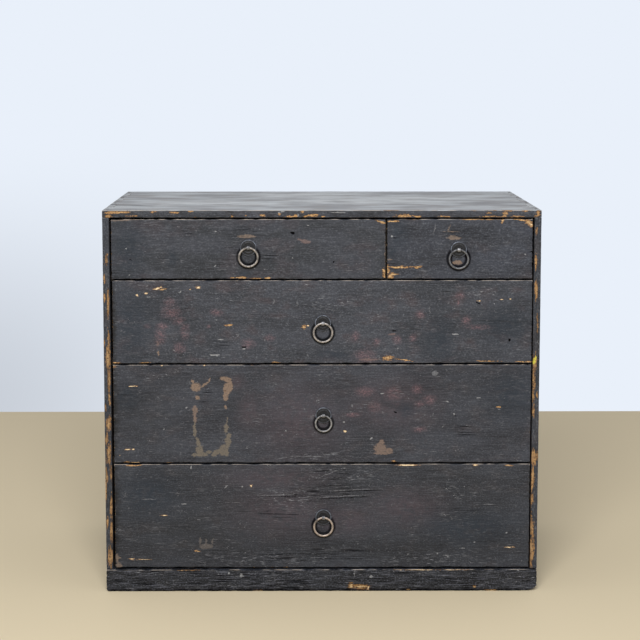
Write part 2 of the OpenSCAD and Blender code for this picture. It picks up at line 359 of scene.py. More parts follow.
# %% Model the back boards
backs = {}
for node in ("back_board_upper", "back_board_lower"):
    backs[node] = plain_board(node, X, Z, arris=0.8 * MM, chip=0.4 * MM)
    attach(backs[node], "case")
print(len(rails), "rails,", len(backs), "back boards")

# %% [markdown]
# ## The pulls
# A ring of iron wire hangs in the eye of a split pin, over a thin round plate. The ring is a
# small circle spun round, the plate a disc with its rim left standing, and the pin a strip that
# is bent round the ring by Spin.

# %% Where each pull is
def pull_place(drawer):
    """The middle of a drawer's eye: the plate's middle in X and Z, the ring's in Y."""
    plate_low, plate_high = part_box(f"{drawer}_pull_plate")
    ring_low, ring_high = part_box(f"{drawer}_pull_ring")
    middle = (plate_low + plate_high) / 2
    return Vector((middle[X], (ring_low[Y] + ring_high[Y]) / 2, middle[Z]))


print("the wide drawer's eye is at", [round(v / MM, 1) for v in pull_place("wide_drawer")])

# %% [markdown]
# A smith bends wire round a bar and welds its ends. A torus would be perfectly round, so a small
# circle is spun instead, its ends are merged, and a hammered noise dents it a little.

# %% Forge the rings
def forge_ring(drawer):
    """A wire ring at a drawer's own place, a little uneven from the hammer."""
    low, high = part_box(f"{drawer}_pull_ring")
    wire_r = (high[Y] - low[Y]) / 2
    middle = (low + high) / 2
    mean_r = (high[X] - low[X]) / 2 - wire_r
    bpy.ops.mesh.primitive_circle_add(vertices=14, radius=wire_r,
                                      location=middle + Vector((mean_r, 0, 0)))
    ring = bpy.context.object
    bpy.ops.object.transform_apply()
    bpy.ops.object.mode_set(mode="EDIT")
    bpy.ops.mesh.select_all(action="SELECT")
    bpy.ops.mesh.spin(steps=72, angle=math.tau, center=middle, axis=(0, 1, 0))
    bpy.ops.mesh.select_all(action="SELECT")
    bpy.ops.mesh.remove_doubles(threshold=1e-5)
    bpy.ops.mesh.normals_make_consistent(inside=False)
    bpy.ops.object.mode_set(mode="OBJECT")
    sink(ring, hammer_noise, 0.16 * MM)
    only(ring)
    bpy.ops.object.shade_smooth()
    return ring


# %% [markdown]
# The plate is a disc of sheet iron that was dished over a stake: its rim stands, and a shallow
# ring runs inside it. Insets with a depth raise and lower the disc's face ring by ring.

# %% Turn the plate
def turn_plate(drawer):
    """A round plate whose rim is left standing, with one shallow ring inside it."""
    low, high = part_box(f"{drawer}_pull_plate")
    bpy.ops.mesh.primitive_cylinder_add(vertices=72, radius=(high[X] - low[X]) / 2,
                                        depth=high[Y] - low[Y], location=(low + high) / 2,
                                        rotation=(math.pi / 2, 0, 0))
    plate = bpy.context.object
    bpy.ops.object.transform_apply()
    bpy.ops.object.mode_set(mode="EDIT")
    pick(plate, "faces", faces_to(Y, -1))
    bpy.ops.mesh.bevel(offset=0.35 * MM, segments=2, affect="EDGES")
    pick(plate, "faces", faces_to(Y, -1, lambda middle: middle[Y] - low[Y] < 0.02 * MM))
    for thickness, depth in ((1.2, 0), (0.3, -0.6), (2.6, 0), (0.5, 0.25), (0.5, -0.2),
                             (3, 0), (2, 0)):
        bpy.ops.mesh.inset(thickness=thickness * MM, depth=depth * MM)
    bpy.ops.object.mode_set(mode="OBJECT")
    sink(plate, hammer_noise, 0.12 * MM)
    bpy.ops.object.shade_smooth_by_angle(angle=SHARP)
    return plate


# %% [markdown]
# The pin is one strip bent in two: an eye round the ring, two legs through the front, and their
# ends turned over inside, up and down, which is all that holds it. Spin bends the eye, and
# extrusions of its two end faces make the legs.

# %% Bend the split pin
STRIP_T = 1.2 * MM
LEAF_L = 14 * MM
PIN_STEPS = 38


def bend_pin(drawer):
    """A strip that is spun to an eye, with two legs through the front, turned over inside."""
    eye = pull_place(drawer)
    low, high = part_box(f"{drawer}_pull_pin")
    inside_y = high[Y] - STRIP_T
    eye_r = eye[Y] - low[Y]
    bend_r = eye_r - STRIP_T / 2
    bpy.ops.mesh.primitive_plane_add(size=1, location=eye + Vector((0, bend_r, 0)))
    pin = bpy.context.object
    pin.scale = (high[X] - low[X], STRIP_T, 1)
    bpy.ops.object.transform_apply()
    bpy.ops.object.mode_set(mode="EDIT")
    bpy.ops.mesh.select_all(action="SELECT")
    bpy.ops.mesh.spin(steps=PIN_STEPS, angle=math.tau - 0.01, center=eye, axis=(1, 0, 0))
    bpy.ops.mesh.select_all(action="SELECT")
    bpy.ops.mesh.normals_make_consistent(inside=False)
    for sign in (-1, 1):
        def starts_leg(middle):
            return middle[Y] > eye[Y] + 0.9 * eye_r and 0 < sign * (middle[Z] - eye[Z]) < STRIP_T
        pick(pin, "faces", faces_to(Y, 1, starts_leg))
        extrude(0, inside_y - eye[Y] - eye_r, 0)
        bpy.ops.transform.resize(value=(1, 0, 1), center_override=(0, inside_y, 0))
        extrude(0, STRIP_T, 0)
        pick(pin, "faces", faces_to(Z, sign, lambda middle: middle[Y] > inside_y))
        extrude(0, 0, sign * (LEAF_L - STRIP_T))
        bpy.ops.transform.resize(value=(0.5, 1, 1), center_override=eye)
    bpy.ops.object.mode_set(mode="OBJECT")
    rounding = pin.modifiers.new("rounding", "BEVEL")
    rounding.width = 0.2 * MM
    rounding.segments = 2
    rounding.limit_method = "ANGLE"
    rounding.angle_limit = SHARP
    bpy.ops.object.modifier_apply(modifier=rounding.name)
    bpy.ops.object.shade_smooth_by_angle(angle=SHARP)
    return pin


# %% [markdown]
# Five pulls from one smith are alike but not the same. Two are made, at the wide and the third
# drawer. The other three are copies of the first, with ring and plate turned round their own
# middle, so that the same dents don't show again in the same place.

# %% Make the pulls and copy them
def copy_of(piece, shift, turn, middle):
    """A copy with a mesh of its own, turned round its middle and moved to its place."""
    copy = piece.copy()
    copy.data = piece.data.copy()
    bpy.context.collection.objects.link(copy)
    only(copy)
    bpy.ops.object.mode_set(mode="EDIT")
    bpy.ops.mesh.select_all(action="SELECT")
    if turn:
        bpy.ops.transform.rotate(value=turn, orient_axis="Y", center_override=middle)
    bpy.ops.transform.translate(value=shift)
    bpy.ops.object.mode_set(mode="OBJECT")
    return copy


pulls = {}
RING_TURNS = {"small_drawer": 1.1, "second_drawer": 2.3, "bottom_drawer": 4.2}
for drawer in ("wide_drawer", "third_drawer"):
    pulls[drawer] = {"ring": forge_ring(drawer), "plate": turn_plate(drawer),
                     "pin": bend_pin(drawer)}
for drawer, turn in RING_TURNS.items():
    shift = pull_place(drawer) - pull_place("wide_drawer")
    first = pulls["wide_drawer"]
    low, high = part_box("wide_drawer_pull_ring")
    pulls[drawer] = {"ring": copy_of(first["ring"], shift, turn, (low + high) / 2),
                     "plate": copy_of(first["plate"], shift, turn, pull_place("wide_drawer")),
                     "pin": copy_of(first["pin"], shift, 0, None)}
for drawer, parts in pulls.items():
    for kind, piece in parts.items():
        piece.name = piece.data.name = f"{drawer}_{kind}_forged"
        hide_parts(f"{drawer}_pull_{kind}")
        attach(piece, drawer.replace("drawer", "ring") if kind == "ring" else drawer)
        box = [Vector(corner) for corner in piece.bound_box]
        print(piece.name, [round(v / MM, 1) for v in box[0]], [round(v / MM, 1) for v in box[6]],
              len(piece.data.polygons), "faces")

# %% [markdown]
# ## Materials
# Every colour is written as sRGB hex, as a colour picker shows it, and turned to the linear
# values that Blender's nodes take.

# %% Colours and nodes
def linear(code):
    """Turns an sRGB colour such as '#49494e' into linear values."""
    parts = [int(code[i:i + 2], 16) / 255 for i in (1, 3, 5)]
    return (*[v / 12.92 if v <= 0.04045 else ((v + 0.055) / 1.055) ** 2.4 for v in parts], 1)


print("a middle grey of #808080 is", round(linear("#808080")[0], 3), "in linear light")

# %% [markdown]
# A material of two hundred nodes could be wired by hand. In a script, a table of the kinds of node
# is easier to read: each has its name in Blender, the output that is used (None: all of them),
# the sockets that its values go to in order, and its settings.

# %% The kinds of node
KINDS = {
    "object_place": ("ShaderNodeTexCoord", "Object", (), {}),
    "normal": ("ShaderNodeTexCoord", "Normal", (), {}),
    "view_place": ("ShaderNodeTexCoord", "Generated", (), {}),
    "stretch": ("ShaderNodeMapping", 0, ("Vector", "Scale", "Location"), {}),
    "ellipse": ("ShaderNodeMapping", 0, ("Vector", "Location", "Scale", "Rotation"),
                {"vector_type": "TEXTURE"}),
    "near": ("ShaderNodeTexGradient", "Fac", ("Vector",), {"gradient_type": "SPHERICAL"}),
    "noise": ("ShaderNodeTexNoise", "Fac", ("Vector", "Scale", "Detail"), {}),
    "colour_noise": ("ShaderNodeTexNoise", "Color", ("Vector", "Scale", "Detail"), {}),
    "parts": ("ShaderNodeSeparateXYZ", None, (0,), {}),
    "y": ("ShaderNodeSeparateXYZ", "Y", (0,), {}),
    "z": ("ShaderNodeSeparateXYZ", "Z", (0,), {}),
    "vector_scale": ("ShaderNodeVectorMath", 0, (0, "Scale"), {"operation": "SCALE"}),
    "length": ("ShaderNodeVectorMath", "Value", (0,), {"operation": "LENGTH"}),
    "ramp": ("ShaderNodeMapRange", 0, ("Value", "From Min", "From Max", "To Min", "To Max"),
             {"interpolation_type": "SMOOTHSTEP", "clamp": False}),
    "cover": ("ShaderNodeMix", 2, (0, 6, 7), {"data_type": "RGBA"}),
    "bump": ("ShaderNodeBump", 0, ("Height", "Distance", "Strength"), {}),
    "camera_ray": ("ShaderNodeLightPath", "Is Camera Ray", (), {}),
    "background": ("ShaderNodeBackground", 0, ("Color", "Strength"), {}),
    "mix_shader": ("ShaderNodeMixShader", 0, (0, 1, 2), {}),
    "world": ("ShaderNodeOutputWorld", None, ("Surface",), {}),
}
OPERATIONS = {"times": "MULTIPLY", "plus": "ADD", "minus": "SUBTRACT", "size": "ABSOLUTE",
              "times_plus": "MULTIPLY_ADD", "greater": "MAXIMUM", "lesser": "MINIMUM"}
for kind, operation in OPERATIONS.items():
    KINDS[kind] = ("ShaderNodeMath", 0, range(3), {"operation": operation})
    KINDS[f"vector_{kind}"] = ("ShaderNodeVectorMath", 0, range(3), {"operation": operation})
print(len(KINDS), "kinds of node")


# %% [markdown]
# One helper adds a node with its settings and links. A value may be a node in itself, written as
# a tuple, so that a formula reads from the outside in, as on paper.

# %% Add and link nodes
def ready(tree, value):
    """A value as a socket takes it: a node is added for a tuple such as ("times", a, b)."""
    if isinstance(value, tuple) and isinstance(value[0], str):
        return add(tree, *value)
    return linear(value) if isinstance(value, str) else value


def give(tree, node, values):
    """Gives sockets their values: a constant, a hex colour, an output, or a node to add."""
    for socket, value in values.items():
        value = ready(tree, value)
        if isinstance(value, bpy.types.NodeSocket):
            tree.links.new(value, node.inputs[socket])
        else:
            node.inputs[socket].default_value = value


def add(tree, kind, *values):
    """Adds a node with its settings and links, and returns its output.

    The nodes that go into it are added first. Cycles works through them in that order, and
    runs out of memory for one material when too many wait for each other."""
    name, out, sockets, settings = KINDS[kind]
    values = [ready(tree, value) for value in values]
    node = tree.nodes.new(name)
    for setting, value in settings.items():
        setattr(node, setting, value)
    give(tree, node, dict(zip(sockets, values)))
    return node.outputs if out is None else node.outputs[out]


# %% [markdown]
# Paint, dirt and wear lie over each other, so a colour is built in layers, from the bottom up.

# %% Layers and new materials
def layered(tree, base, *layers):
    """Lays colours over a base, each with how much of what is below it covers."""
    for amount, colour in layers:
        base = add(tree, "cover", amount, base, colour)
    return base


def new_material(name):
    """A material with its node tree and its Principled shader."""
    material = bpy.data.materials.new(name)
    material.use_nodes = True
    return material, material.node_tree, material.node_tree.nodes["Principled BSDF"]


def paint_over(piece, material):
    piece.data.materials.clear()
    piece.data.materials.append(material)


# %% [markdown]
# ### Grain
# Softwood grain is fine lines, 1 to 2 mm apart and some 10 cm long, in broader bands, and both
# wave a little. Both are noise in stretched coordinates: the place in millimetres is bent by
# a slow wave, then divided by the length and the width of one line.

# %% Coordinates that follow the grain
def noise(tree, place, along, length, width, seed=0, detail=2.0, kind="noise"):
    """Noise from 0 to 1 with cells of a length along the grain and a width, in millimetres."""
    scale = [1 / length if axis == along else 1 / width for axis in range(3)]
    shift = (seed * 7.3, seed * 3.1, seed * 5.7)
    return add(tree, kind, ("stretch", place, scale, shift), 1.0, detail)


def millimetres(tree):
    """The place on the chest in millimetres."""
    return add(tree, "stretch", ("object_place",), (1 / MM, 1 / MM, 1 / MM))


def bend(tree, place, along, sway, seed):
    """A place that is moved aside by up to sway, as the grain waves."""
    wave = noise(tree, place, along, 190, 55, seed + 1, 1.0)
    aside = [0 if axis == along else sway for axis in range(3)]
    return add(tree, "vector_plus", place, ("vector_scale", aside, wave))


# %% [markdown]
# ### Bare softwood
# Old softwood is yellow to grey brown. Late wood makes narrow darker lines, handling and dust
# make it dull and blotchy, and it has no gloss. The same function serves the boards that were
# never painted and the wood that shows through the paint.

# %% Softwood, never painted
BARE_WOOD = ("#b3946c", "#8a6a48")      # early and late wood, kept from light and hands


def wood_colour(tree, bent, along, pale, dark, seed):
    """Late wood lines and dirt between a pale and a dark wood colour, and their height."""
    lines = noise(tree, bent, along, 120, 2.2, seed + 2, 4.0)
    bands = noise(tree, bent, along, 420, 9, seed + 3, 1.0)
    dirt_and_shade = noise(tree, bent, along, 90, 40, seed + 4, 3.0)
    late = ("times", ("ramp", lines, 0.42, 0.66), ("ramp", bands, 0.3, 0.7, 0.35, 1.0))
    dirty = ("ramp", dirt_and_shade, 0.45, 0.75, 0.0, 0.5)
    return layered(tree, pale, (late, dark), (dirty, dark)), lines


def softwood(name, along, pale, dark, seed, shaded_front=False):
    """Bare softwood. A case board can have painted shade, black near its front end, which is seen
    only in the gaps between the drawers.
    """
    material, tree, shader = new_material(name)
    place = millimetres(tree)
    wood, lines = wood_colour(tree, bend(tree, place, along, 5.0, seed), along, pale, dark, seed)
    if shaded_front:
        # Painted shade: near black within the front two centimetres, seen only deep in the gaps.
        wood = layered(tree, wood, (("ramp", ("y", place), -170, -192, 0.0, 0.95), "#120f0d"))
    give(tree, shader, {"Base Color": wood, "Roughness": 0.78,
                        "Normal": ("bump", lines, 0.25 * MM, 1.0)})
    return material


# %% [markdown]
# ### Black paint on softwood
# The paint is an old oil paint, blue black and almost matt, brushed over the raised grain. From the
# bottom up it shows: the paint's own uneven tone, red haze, bluish zones, painted shade on the
# lower fronts and along the drawers' left edges, pale scuffs on the grain's ridges, dark checks in
# its furrows, a painted shadow round each ring, dust with a painted sheen where it looks up, a thin
# rubbed line along every arris, bare wood where it has come off, and last what sticks to it. A
# picture of all that would blur close up, so each layer is a small function here, and each mark of
# the real chest is an ellipse in millimetres, because a few numbers place it and noise can tear its
# rim.

# %% Marks and worn edges as masks
def mark_distance(tree, torn, marks, face):
    """1 at the rim of the nearest ellipse (across, up, half width, half height, turn).

    A face is its axis and its place on that axis: (Y, -214) is a front, (Z, 666) the top. A
    spherical gradient falls from 1 in an ellipse's middle to 0 at twice its size."""
    axis, place = face
    nearest = None
    for across, up, half_across, half_up, *turn in marks:
        angle = math.radians(turn[0]) if turn else 0
        wide, high, deep = 2 * half_across, 2 * half_up, 6
        if axis == Y:
            middle, size, angles = (across, place, up), (wide, deep, high), (0, -angle, 0)
        else:
            middle, size, angles = (across, up, place), (wide, high, deep), (0, 0, angle)
        near = ("near", ("ellipse", torn, middle, size, angles))
        nearest = near if nearest is None else add(tree, "greater", nearest, near)
    return add(tree, "times_plus", nearest, -2.0, 2.0)


def arris_distance(tree, place, low, high):
    """The middle one of the distances to a board's sides is the distance to its next arris."""
    middle, half = (low + high) / 2 / MM, (high - low) / 2 / MM
    off = ("vector_size", ("vector_minus", place, middle))
    x, y, z = add(tree, "parts", ("vector_minus", half, off))
    return add(tree, "greater", ("lesser", x, y), ("lesser", ("greater", x, y), z))


def ring_distance(tree, place, middle):
    """How far a place is from the middle of a ring, seen from the front, in millimetres."""
    return add(tree, "length", ("vector_times", ("vector_minus", place, middle), (1, 0, 1)))


# %% [markdown]
# Every layer of the paint reads the same few noises: lines and ridges along the grain, grit as
# the brush left it, and patches, clouds and blotches of one to ten centimetres. They are made
# once for a board and kept together, so that a layer only says what it does with them. The
# real grit is under a millimetre and finer than a pixel of the render, so it is drawn at 2 to
# 3 mm, as coarse as it needs to show.

# %% The noises that a painted board's layers share
def painted_board(name, node, along, marks, seed):
    """A new material for a board, with its places, its noises and its marks."""
    board = SimpleNamespace(along=along, marks=marks, seed=seed, torn={}, soot=0.0)
    board.low, board.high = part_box(node)
    board.material, board.tree, board.shader = new_material(name)
    tree = board.tree
    place = board.place = millimetres(tree)
    bent = board.bent = bend(tree, place, along, 7.0, seed)
    board.fine = noise(tree, bent, along, 26, 1.7, seed, 4.0)
    board.grit = noise(tree, place, along, 2.8, 2.0, seed + 12, 3.0)
    board.ridge = noise(tree, bent, along, 260, 6.5, seed + 5, 2.0)
    board.blotch = noise(tree, place, along, 110, 45, seed + 6, 3.0)
    board.cloud = noise(tree, place, along, 42, 26, seed + 7, 3.0)
    board.patch = noise(tree, place, along, 11, 8, seed + 16, 3.0)
    return board


# %% [markdown]
# A mark with a clean outline looks like a sticker. So its rim is torn twice: the place that it is
# measured at is moved aside, most along the grain, and fine grain is added to its distance.

# %% Torn marks
def tear(board):
    """Adds what tears the rims: a shift of the place, and noises for the distance."""
    tree = board.tree
    shift = noise(tree, board.place, board.along, 6, 2.4, board.seed + 8, 4.0, "colour_noise")
    board.shift = add(tree, "vector_minus", shift, (0.5, 0.5, 0.5))
    frayed_grain = ("times_plus", board.fine, -2.4, ("times", board.grit, -1.5))
    board.fray = add(tree, "plus", frayed_grain, 1.95)
    board.drift = add(tree, "minus", board.patch, 0.5)


def torn_place(board, axis):
    """The place moved by up to 4.5 mm along the grain and 2 mm across, in a face's plane."""
    if axis not in board.torn:
        amounts = [0.0 if way == axis else 9.0 if way == board.along else 4.0 for way in range(3)]
        board.torn[axis] = add(board.tree, "vector_times_plus", board.shift, amounts, board.place)
    return board.torn[axis]


def frayed(board, kind, amount=0.0, by=None, on_top=False):
    """The distance to the marks of a kind, with some noise added to it."""
    axis, place = (Z, board.high[Z] / MM) if on_top else (Y, board.low[Y] / MM)
    far = mark_distance(board.tree, torn_place(board, axis), board.marks[kind], (axis, place))
    return add(board.tree, "times_plus", board.fray if by is None else by, amount, far)


def mask(board, kind, softness=0.25, *how_frayed):
    """1 on the marks of a kind, and 0 off them."""
    return add(board.tree, "ramp", frayed(board, kind, *how_frayed), 1 + softness, 1 - softness)


# %% [markdown]
# The paint itself is never one black. It is bluer here and browner there, dull grey where the
# ridges are polished by hands, and darkest in the furrows that no hand reaches.

# %% The paint's own tone
RIDGE, FURROW = "#70757f", "#15161a"


def brushed_tone(board, tone, rough, ridges, ridged):
    """Three near blacks in blotches and clouds, pale on ridges and grit, dark in furrows."""
    return layered(board.tree, tone[0], (("ramp", board.blotch, 0.38, 0.62), tone[1]),
                   (("ramp", board.cloud, 0.5, 0.72, 0.0, 0.9), tone[2]),
                   (("ramp", board.fine, 0.5, 0.78, 0.0, 0.2 * ridged), ridges),
                   (("ramp", board.fine, 0.5, 0.24, 0.0, 0.3 * ridged), FURROW),
                   (("ramp", board.grit, 0.5, 0.78, 0.0, 0.42 * rough), ridges),
                   (("ramp", board.grit, 0.5, 0.24, 0.0, 0.45 * rough), FURROW))


# %% [markdown]
# Stains lie in the paint and let its grain show: red haze where an undercoat shines through and
# blue zones where less light has bleached it. Painted shade is laid on the same way: broad zones on
# the lower fronts, a shadow along the left edges of the lower three drawers, and a dark line at the
# base's foot, where it meets the floor. They are soft ellipses, broken up by patches. Only the
# shadow at the edges and the line at the foot are whole.

# %% Stains and painted shade, each with its colour, strength and softness
# The last three kinds are painted shade: broad zones on the lower fronts, a shadow along the lower
# drawers' left edges, and a dark line at the base's foot.
STAINS_AND_SHADE = {"tint": ("#4c3f46", 0.5, 0.9), "haze": ("#775a60", 0.8, 0.8),
          "blue": ("#1c2632", 0.8, 0.8), "shade": ("#17181c", 0.42, 0.8),
          "dirt_and_shade": ("#0c0d10", 0.95, 0.8), "soot": ("#0c0d10", 0.95, 0.8)}


def stained_and_shaded(board, paint):
    """Paint with the board's stains and painted shade. The shade at the base's foot is kept,
    because it has no gloss either.
    """
    for kind, (code, strength, softness) in STAINS_AND_SHADE.items():
        if kind in board.marks:
            stain_and_shade, broken = mask(board, kind, softness, 2.2, board.drift), strength
            if kind == "haze":
                stain_and_shade = ("times", stain_and_shade, ("ramp", board.grit, 0.42, 0.62, 0.25, 1.0))
            if kind == "soot":
                board.soot = stain_and_shade
            elif kind != "dirt_and_shade":
                broken = ("ramp", board.patch, 0.35, 0.6, 0.35 * strength, strength)
            paint = layered(board.tree, paint, (("times", stain_and_shade, broken), code))
    return paint


# %% [markdown]
# Where things rubbed past, the ridges are scuffed pale, in hairs of a centimetre and flecks of a
# few millimetres. Old wood has also dried and split along its furrows. These checks are thin and
# black, and so is a painted shadow round each hanging ring.

# %% Scuffs, checks and the painted shadow round a ring
def scuffed(board, paint, scuff):
    """Paint with pale hairs and flecks, more of them where the marks say so."""
    tree = board.tree
    hair = noise(tree, board.bent, board.along, 12, 0.9, board.seed + 9, 2.0)
    amount = add(tree, "ramp", board.cloud, 0.35, 0.7, 0.1, scuff)
    if "hairs" in board.marks:
        amount = add(tree, "greater", amount, mask(board, "hairs", 0.6))
    flecks = ("times", ("ramp", board.patch, 0.61, 0.7), ("ramp", board.grit, 0.54, 0.64))
    return layered(tree, paint, (("times", ("ramp", hair, 0.6, 0.74), amount), "#8b8d93"),
                   (("times", flecks, amount), "#8e8e92"))


def checks(board):
    """1 in the checks, which follow the middle of the broad ridges' noise, and in knots."""
    tree = board.tree
    found = add(tree, "times", ("ramp", ("size", ("minus", board.ridge, 0.5)), 0.02, 0.006),
                ("ramp", board.blotch, 0.45, 0.7, 0.0, 0.4))
    if "checks" in board.marks:
        dash = noise(tree, board.bent, board.along, 45, 1.8, board.seed + 14, 3.0)
        close = ("times", mask(board, "checks", 0.6), ("ramp", dash, 0.55, 0.64, 0.0, 0.75))
        found = add(tree, "greater", found, close)
    if "knots" in board.marks:
        found = add(tree, "greater", found, mask(board, "knots"))
    return found


def checks_and_painted_shade(board, checked, drawer):
    """1 where no light comes back: in the checks, and as painted shade at the base's foot and round
    a ring.
    """
    tree = board.tree
    hollow = add(tree, "greater", checked, board.soot)
    if drawer:
        ring_low, ring_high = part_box(f"{drawer}_pull_ring")
        middle, mean_r = (ring_low + ring_high) / 2 / MM, (ring_high - ring_low)[X] / 2 / MM - 2
        track = ("size", ("minus", ring_distance(tree, board.place, middle), mean_r))
        # A painted shadow round the hanging ring, a few millimetres either side of its wire.
        ring_shadow = ("times", ("ramp", track, 7.0, 3.5), ("ramp", board.cloud, 0.3, 0.7, 0.95, 0.7))
        hollow = add(tree, "greater", hollow, ring_shadow)
    return hollow


# %% [markdown]
# Dust lies on what looks up, and so does a painted sheen, the light that the top reflects, so the
# surface's own normal says where they are. On the top they are streaked along the grain by wiping,
# brighter in the middle, where the painted reflection is strongest, and wiped off near one corner.

# %% Dust and painted sheen
def dusted_and_sheened(board, paint):
    """Paint with dust and a painted sheen on the faces that look up."""
    tree = board.tree
    streak = noise(tree, board.bent, board.along, 55, 8, board.seed + 13, 4.0)
    broad = noise(tree, board.bent, board.along, 105, 44, board.seed + 17, 4.0)
    # The grey of this layer is dust and a painted sheen of reflected light.
    dust_and_sheen = layered(tree, "#9d9ea2", (("ramp", broad, 0.36, 0.64), "#c4c9cd"),
                   (("ramp", streak, 0.5, 0.28, 0.0, 0.4), "#6f6b69"),
                   (("ramp", streak, 0.5, 0.72, 0.0, 0.4), "#d9dee1"),
                   (("ramp", board.cloud, 0.5, 0.7, 0.0, 0.35), "#9d938d"))
    if "dust_and_sheen" in board.marks:
        # The bright patches are a painted reflection over the dust, brightest in the middle of the
        # top.
        bright = mask(board, "dust_and_sheen", 0.8, 1.0, board.drift, True)
        wiped = mask(board, "dark", 0.5, 0.0, board.fray, True)
        dust_and_sheen = layered(
            tree, dust_and_sheen, (("times", bright, ("ramp", streak, 0.35, 0.6, 0.1, 0.7)), "#e6eaec"),
            (("times", wiped, ("ramp", streak, 0.3, 0.62, 1.0, 0.45)), "#262426"))
    lying = ("ramp", ("z", ("normal",)), 0.3, 0.7, 0.0, 0.95)
    return layered(tree, paint, (lying, dust_and_sheen))


# %% [markdown]
# Hands and cloths rub an edge first. A line of half a millimetre to a millimetre along every arris
# has lost its black. Along a board's upper arris this line is pale, partly wear and partly a
# painted highlight, and along the others it is brown. Here and there the paint has come off and the
# wood shows: pale in the middle of a deep place, dark brown at its rim.

# %% Rubbed arrises and bare places
def worn_through(board, paint, rub, bare, pale):
    """Paint worn off along the arrises and at the bare marks, and where that is."""
    tree, high_z = board.tree, board.high[Z] / MM
    reach = noise(tree, board.place, board.along, 22, 7, board.seed + 10, 4.0)
    near = arris_distance(tree, board.place, board.low, board.high)
    upper = add(tree, "ramp", ("z", board.place), high_z - 3.5, high_z - 2)
    thin = ("times", ("ramp", near, 1.4, 0.6), ("ramp", reach, 0.32, 0.58, 0.1, 1.0))
    thin = ("times", thin, ("ramp", upper, 0, 1, 0.25, 1.0))
    # The rubbed line is pale on the upper arris, partly a painted highlight, and brown on the
    # others.
    colour = layered(tree, paint, (thin, ("cover", upper, "#57453f", "#c2b6ab")))
    worn_to = ("ramp", reach, 0.54, 0.8, -1.6, 4.0 * rub)
    rubbed = add(tree, "ramp", ("plus", ("minus", near, worn_to), board.fray), 0.3, -0.3)
    wood = wood_colour(tree, board.bent, board.along, *bare, board.seed)[0]
    if "bare" in board.marks:
        far = frayed(board, "bare", 1.0)
        rubbed = add(tree, "greater", rubbed, ("ramp", far, 1.2, 0.8))
        wood = layered(tree, wood, (("ramp", far, 0.7, 0.0, 0.0, pale), "#d2b68a"),
                       (("ramp", far, 0.7, 1.1, 0.0, 0.7), "#4a3727"))
    wood = layered(tree, wood, (("ramp", board.grit, 0.5, 0.3, 0.0, 0.9), "#3f3128"),
                   (("ramp", board.patch, 0.48, 0.7, 0.0, 0.6), "#7d5f47"))
    return layered(tree, colour, (rubbed, wood)), rubbed


# %% [markdown]
# Last come fresh chips, almost white in the middle, and what sticks to the paint: paper and paste
# of a lost label, scabs of another paint, smears and a yellow spot. Pale lines lie over them:
# scratches, and painted highlights on the lips of splits and on raised grain.

# %% Chips, crusts and painted highlights, with their colour, strength and ragged rim
CRUSTS_AND_HIGHLIGHTS = {"worn": ("#7a6a5e", 0.75, 0.5), "paper": ("#806c5d", 0.95, 0.15),
          "scab": ("#75645b", 0.95, 0.15), "paste": ("#696157", 0.95, 0.15),
          "pink": ("#6f5c59", 0.7, 0.5), "smear": ("#67605c", 0.6, 0.15),
          # pale specks, then pale lines: scratches, and painted highlights on the lips of splits
          # and raised grain
          "pale": ("#9c9da0", 0.7, 0.5), "scratch_and_highlight": ("#85868b", 0.5, 0.5),
          "yellow": ("#c6bd48", 0.95, 0.5)}


def chipped(board, colour):
    """The board's colour with its fresh chips."""
    if "chips" in board.marks:
        far = frayed(board, "chips", 0.7)
        fresh = ("cover", ("ramp", far, 0.8, 0.3), "#8d6f52", "#e9d2ab")
        colour = layered(board.tree, colour, (("ramp", far, 1.15, 0.75), fresh))
    return colour


def crusted_and_highlighted(board, colour):
    """The board's colour with what sticks to it and the painted highlights, thin where the grit
    lets it.
    """
    for kind, (code, strength, ragged) in CRUSTS_AND_HIGHLIGHTS.items():
        if kind in board.marks:
            thick = ("ramp", board.grit, 0.3, 0.6, 0.6 * strength, strength)
            crust_and_highlight = ("times", mask(board, kind, 0.2, ragged), thick)
            colour = layered(board.tree, colour, (crust_and_highlight, code))
    return colour


# %% [markdown]
# Now the layers go on in the order that time laid them on the real chest. The grain also needs
# height for the light to catch it, and worn wood is duller than paint. A drawer's front was
# never painted inside.

# %% Black paint, all layers together
def black_paint(name, node, along, marks, seed, tone=("#33363f", "#282b33", "#343138"),
                rough=1.0, rub=0.4, scuff=0.5, dust_and_sheen=False, drawer=None,
                bare=("#b58c5c", "#5e4430"), ridges=RIDGE, ridged=1.0):
    """Worn black paint for one board, with its marks as ellipses of each kind.

    rough, rub, scuff and ridged say how strongly its grit, its rubbed arrises, its scuffs and
    the ridges of its grain show."""
    board = painted_board(name, node, along, marks, seed)
    tear(board)
    tree, fine = board.tree, board.fine
    paint = stained_and_shaded(board, brushed_tone(board, tone, rough, ridges, ridged))
    checked = checks(board)
    hollow = checks_and_painted_shade(board, checked, drawer)
    # hollow is black and without gloss: real in the checks, and painted shade round the ring and at
    # the base's foot.
    paint = layered(tree, scuffed(board, paint, scuff), (hollow, "#08080a"))
    if dust_and_sheen:
        paint = dusted_and_sheened(board, paint)
    colour, rubbed = worn_through(board, paint, rub, bare, 0.3 if dust_and_sheen else 0.8)
    colour = crusted_and_highlighted(board, chipped(board, colour))
    if drawer:
        inner = wood_colour(tree, board.bent, along, *BARE_WOOD, seed)[0]
        colour = layered(tree, colour, (("ramp", ("y", ("normal",)), 0.3, 0.7), inner))
    height = ("times_plus", fine, 0.12 * rough, ("times", board.ridge, 0.18))
    for texture, rise in ((board.grit, 0.16 * rough), (checked, -0.45), (rubbed, -0.16)):
        height = ("times_plus", texture, rise, height)
    give(tree, board.shader, {
        "Base Color": colour, "Normal": ("bump", height, MM, 1.0),
        "Roughness": ("times_plus", rubbed, 0.25, ("ramp", fine, 0.3, 0.7, 0.66, 0.54)),
        "Specular IOR Level": ("ramp", hollow, 0, 1, 0.35, 0.02)})
    print(name, len(tree.nodes), "nodes")
    return board.material


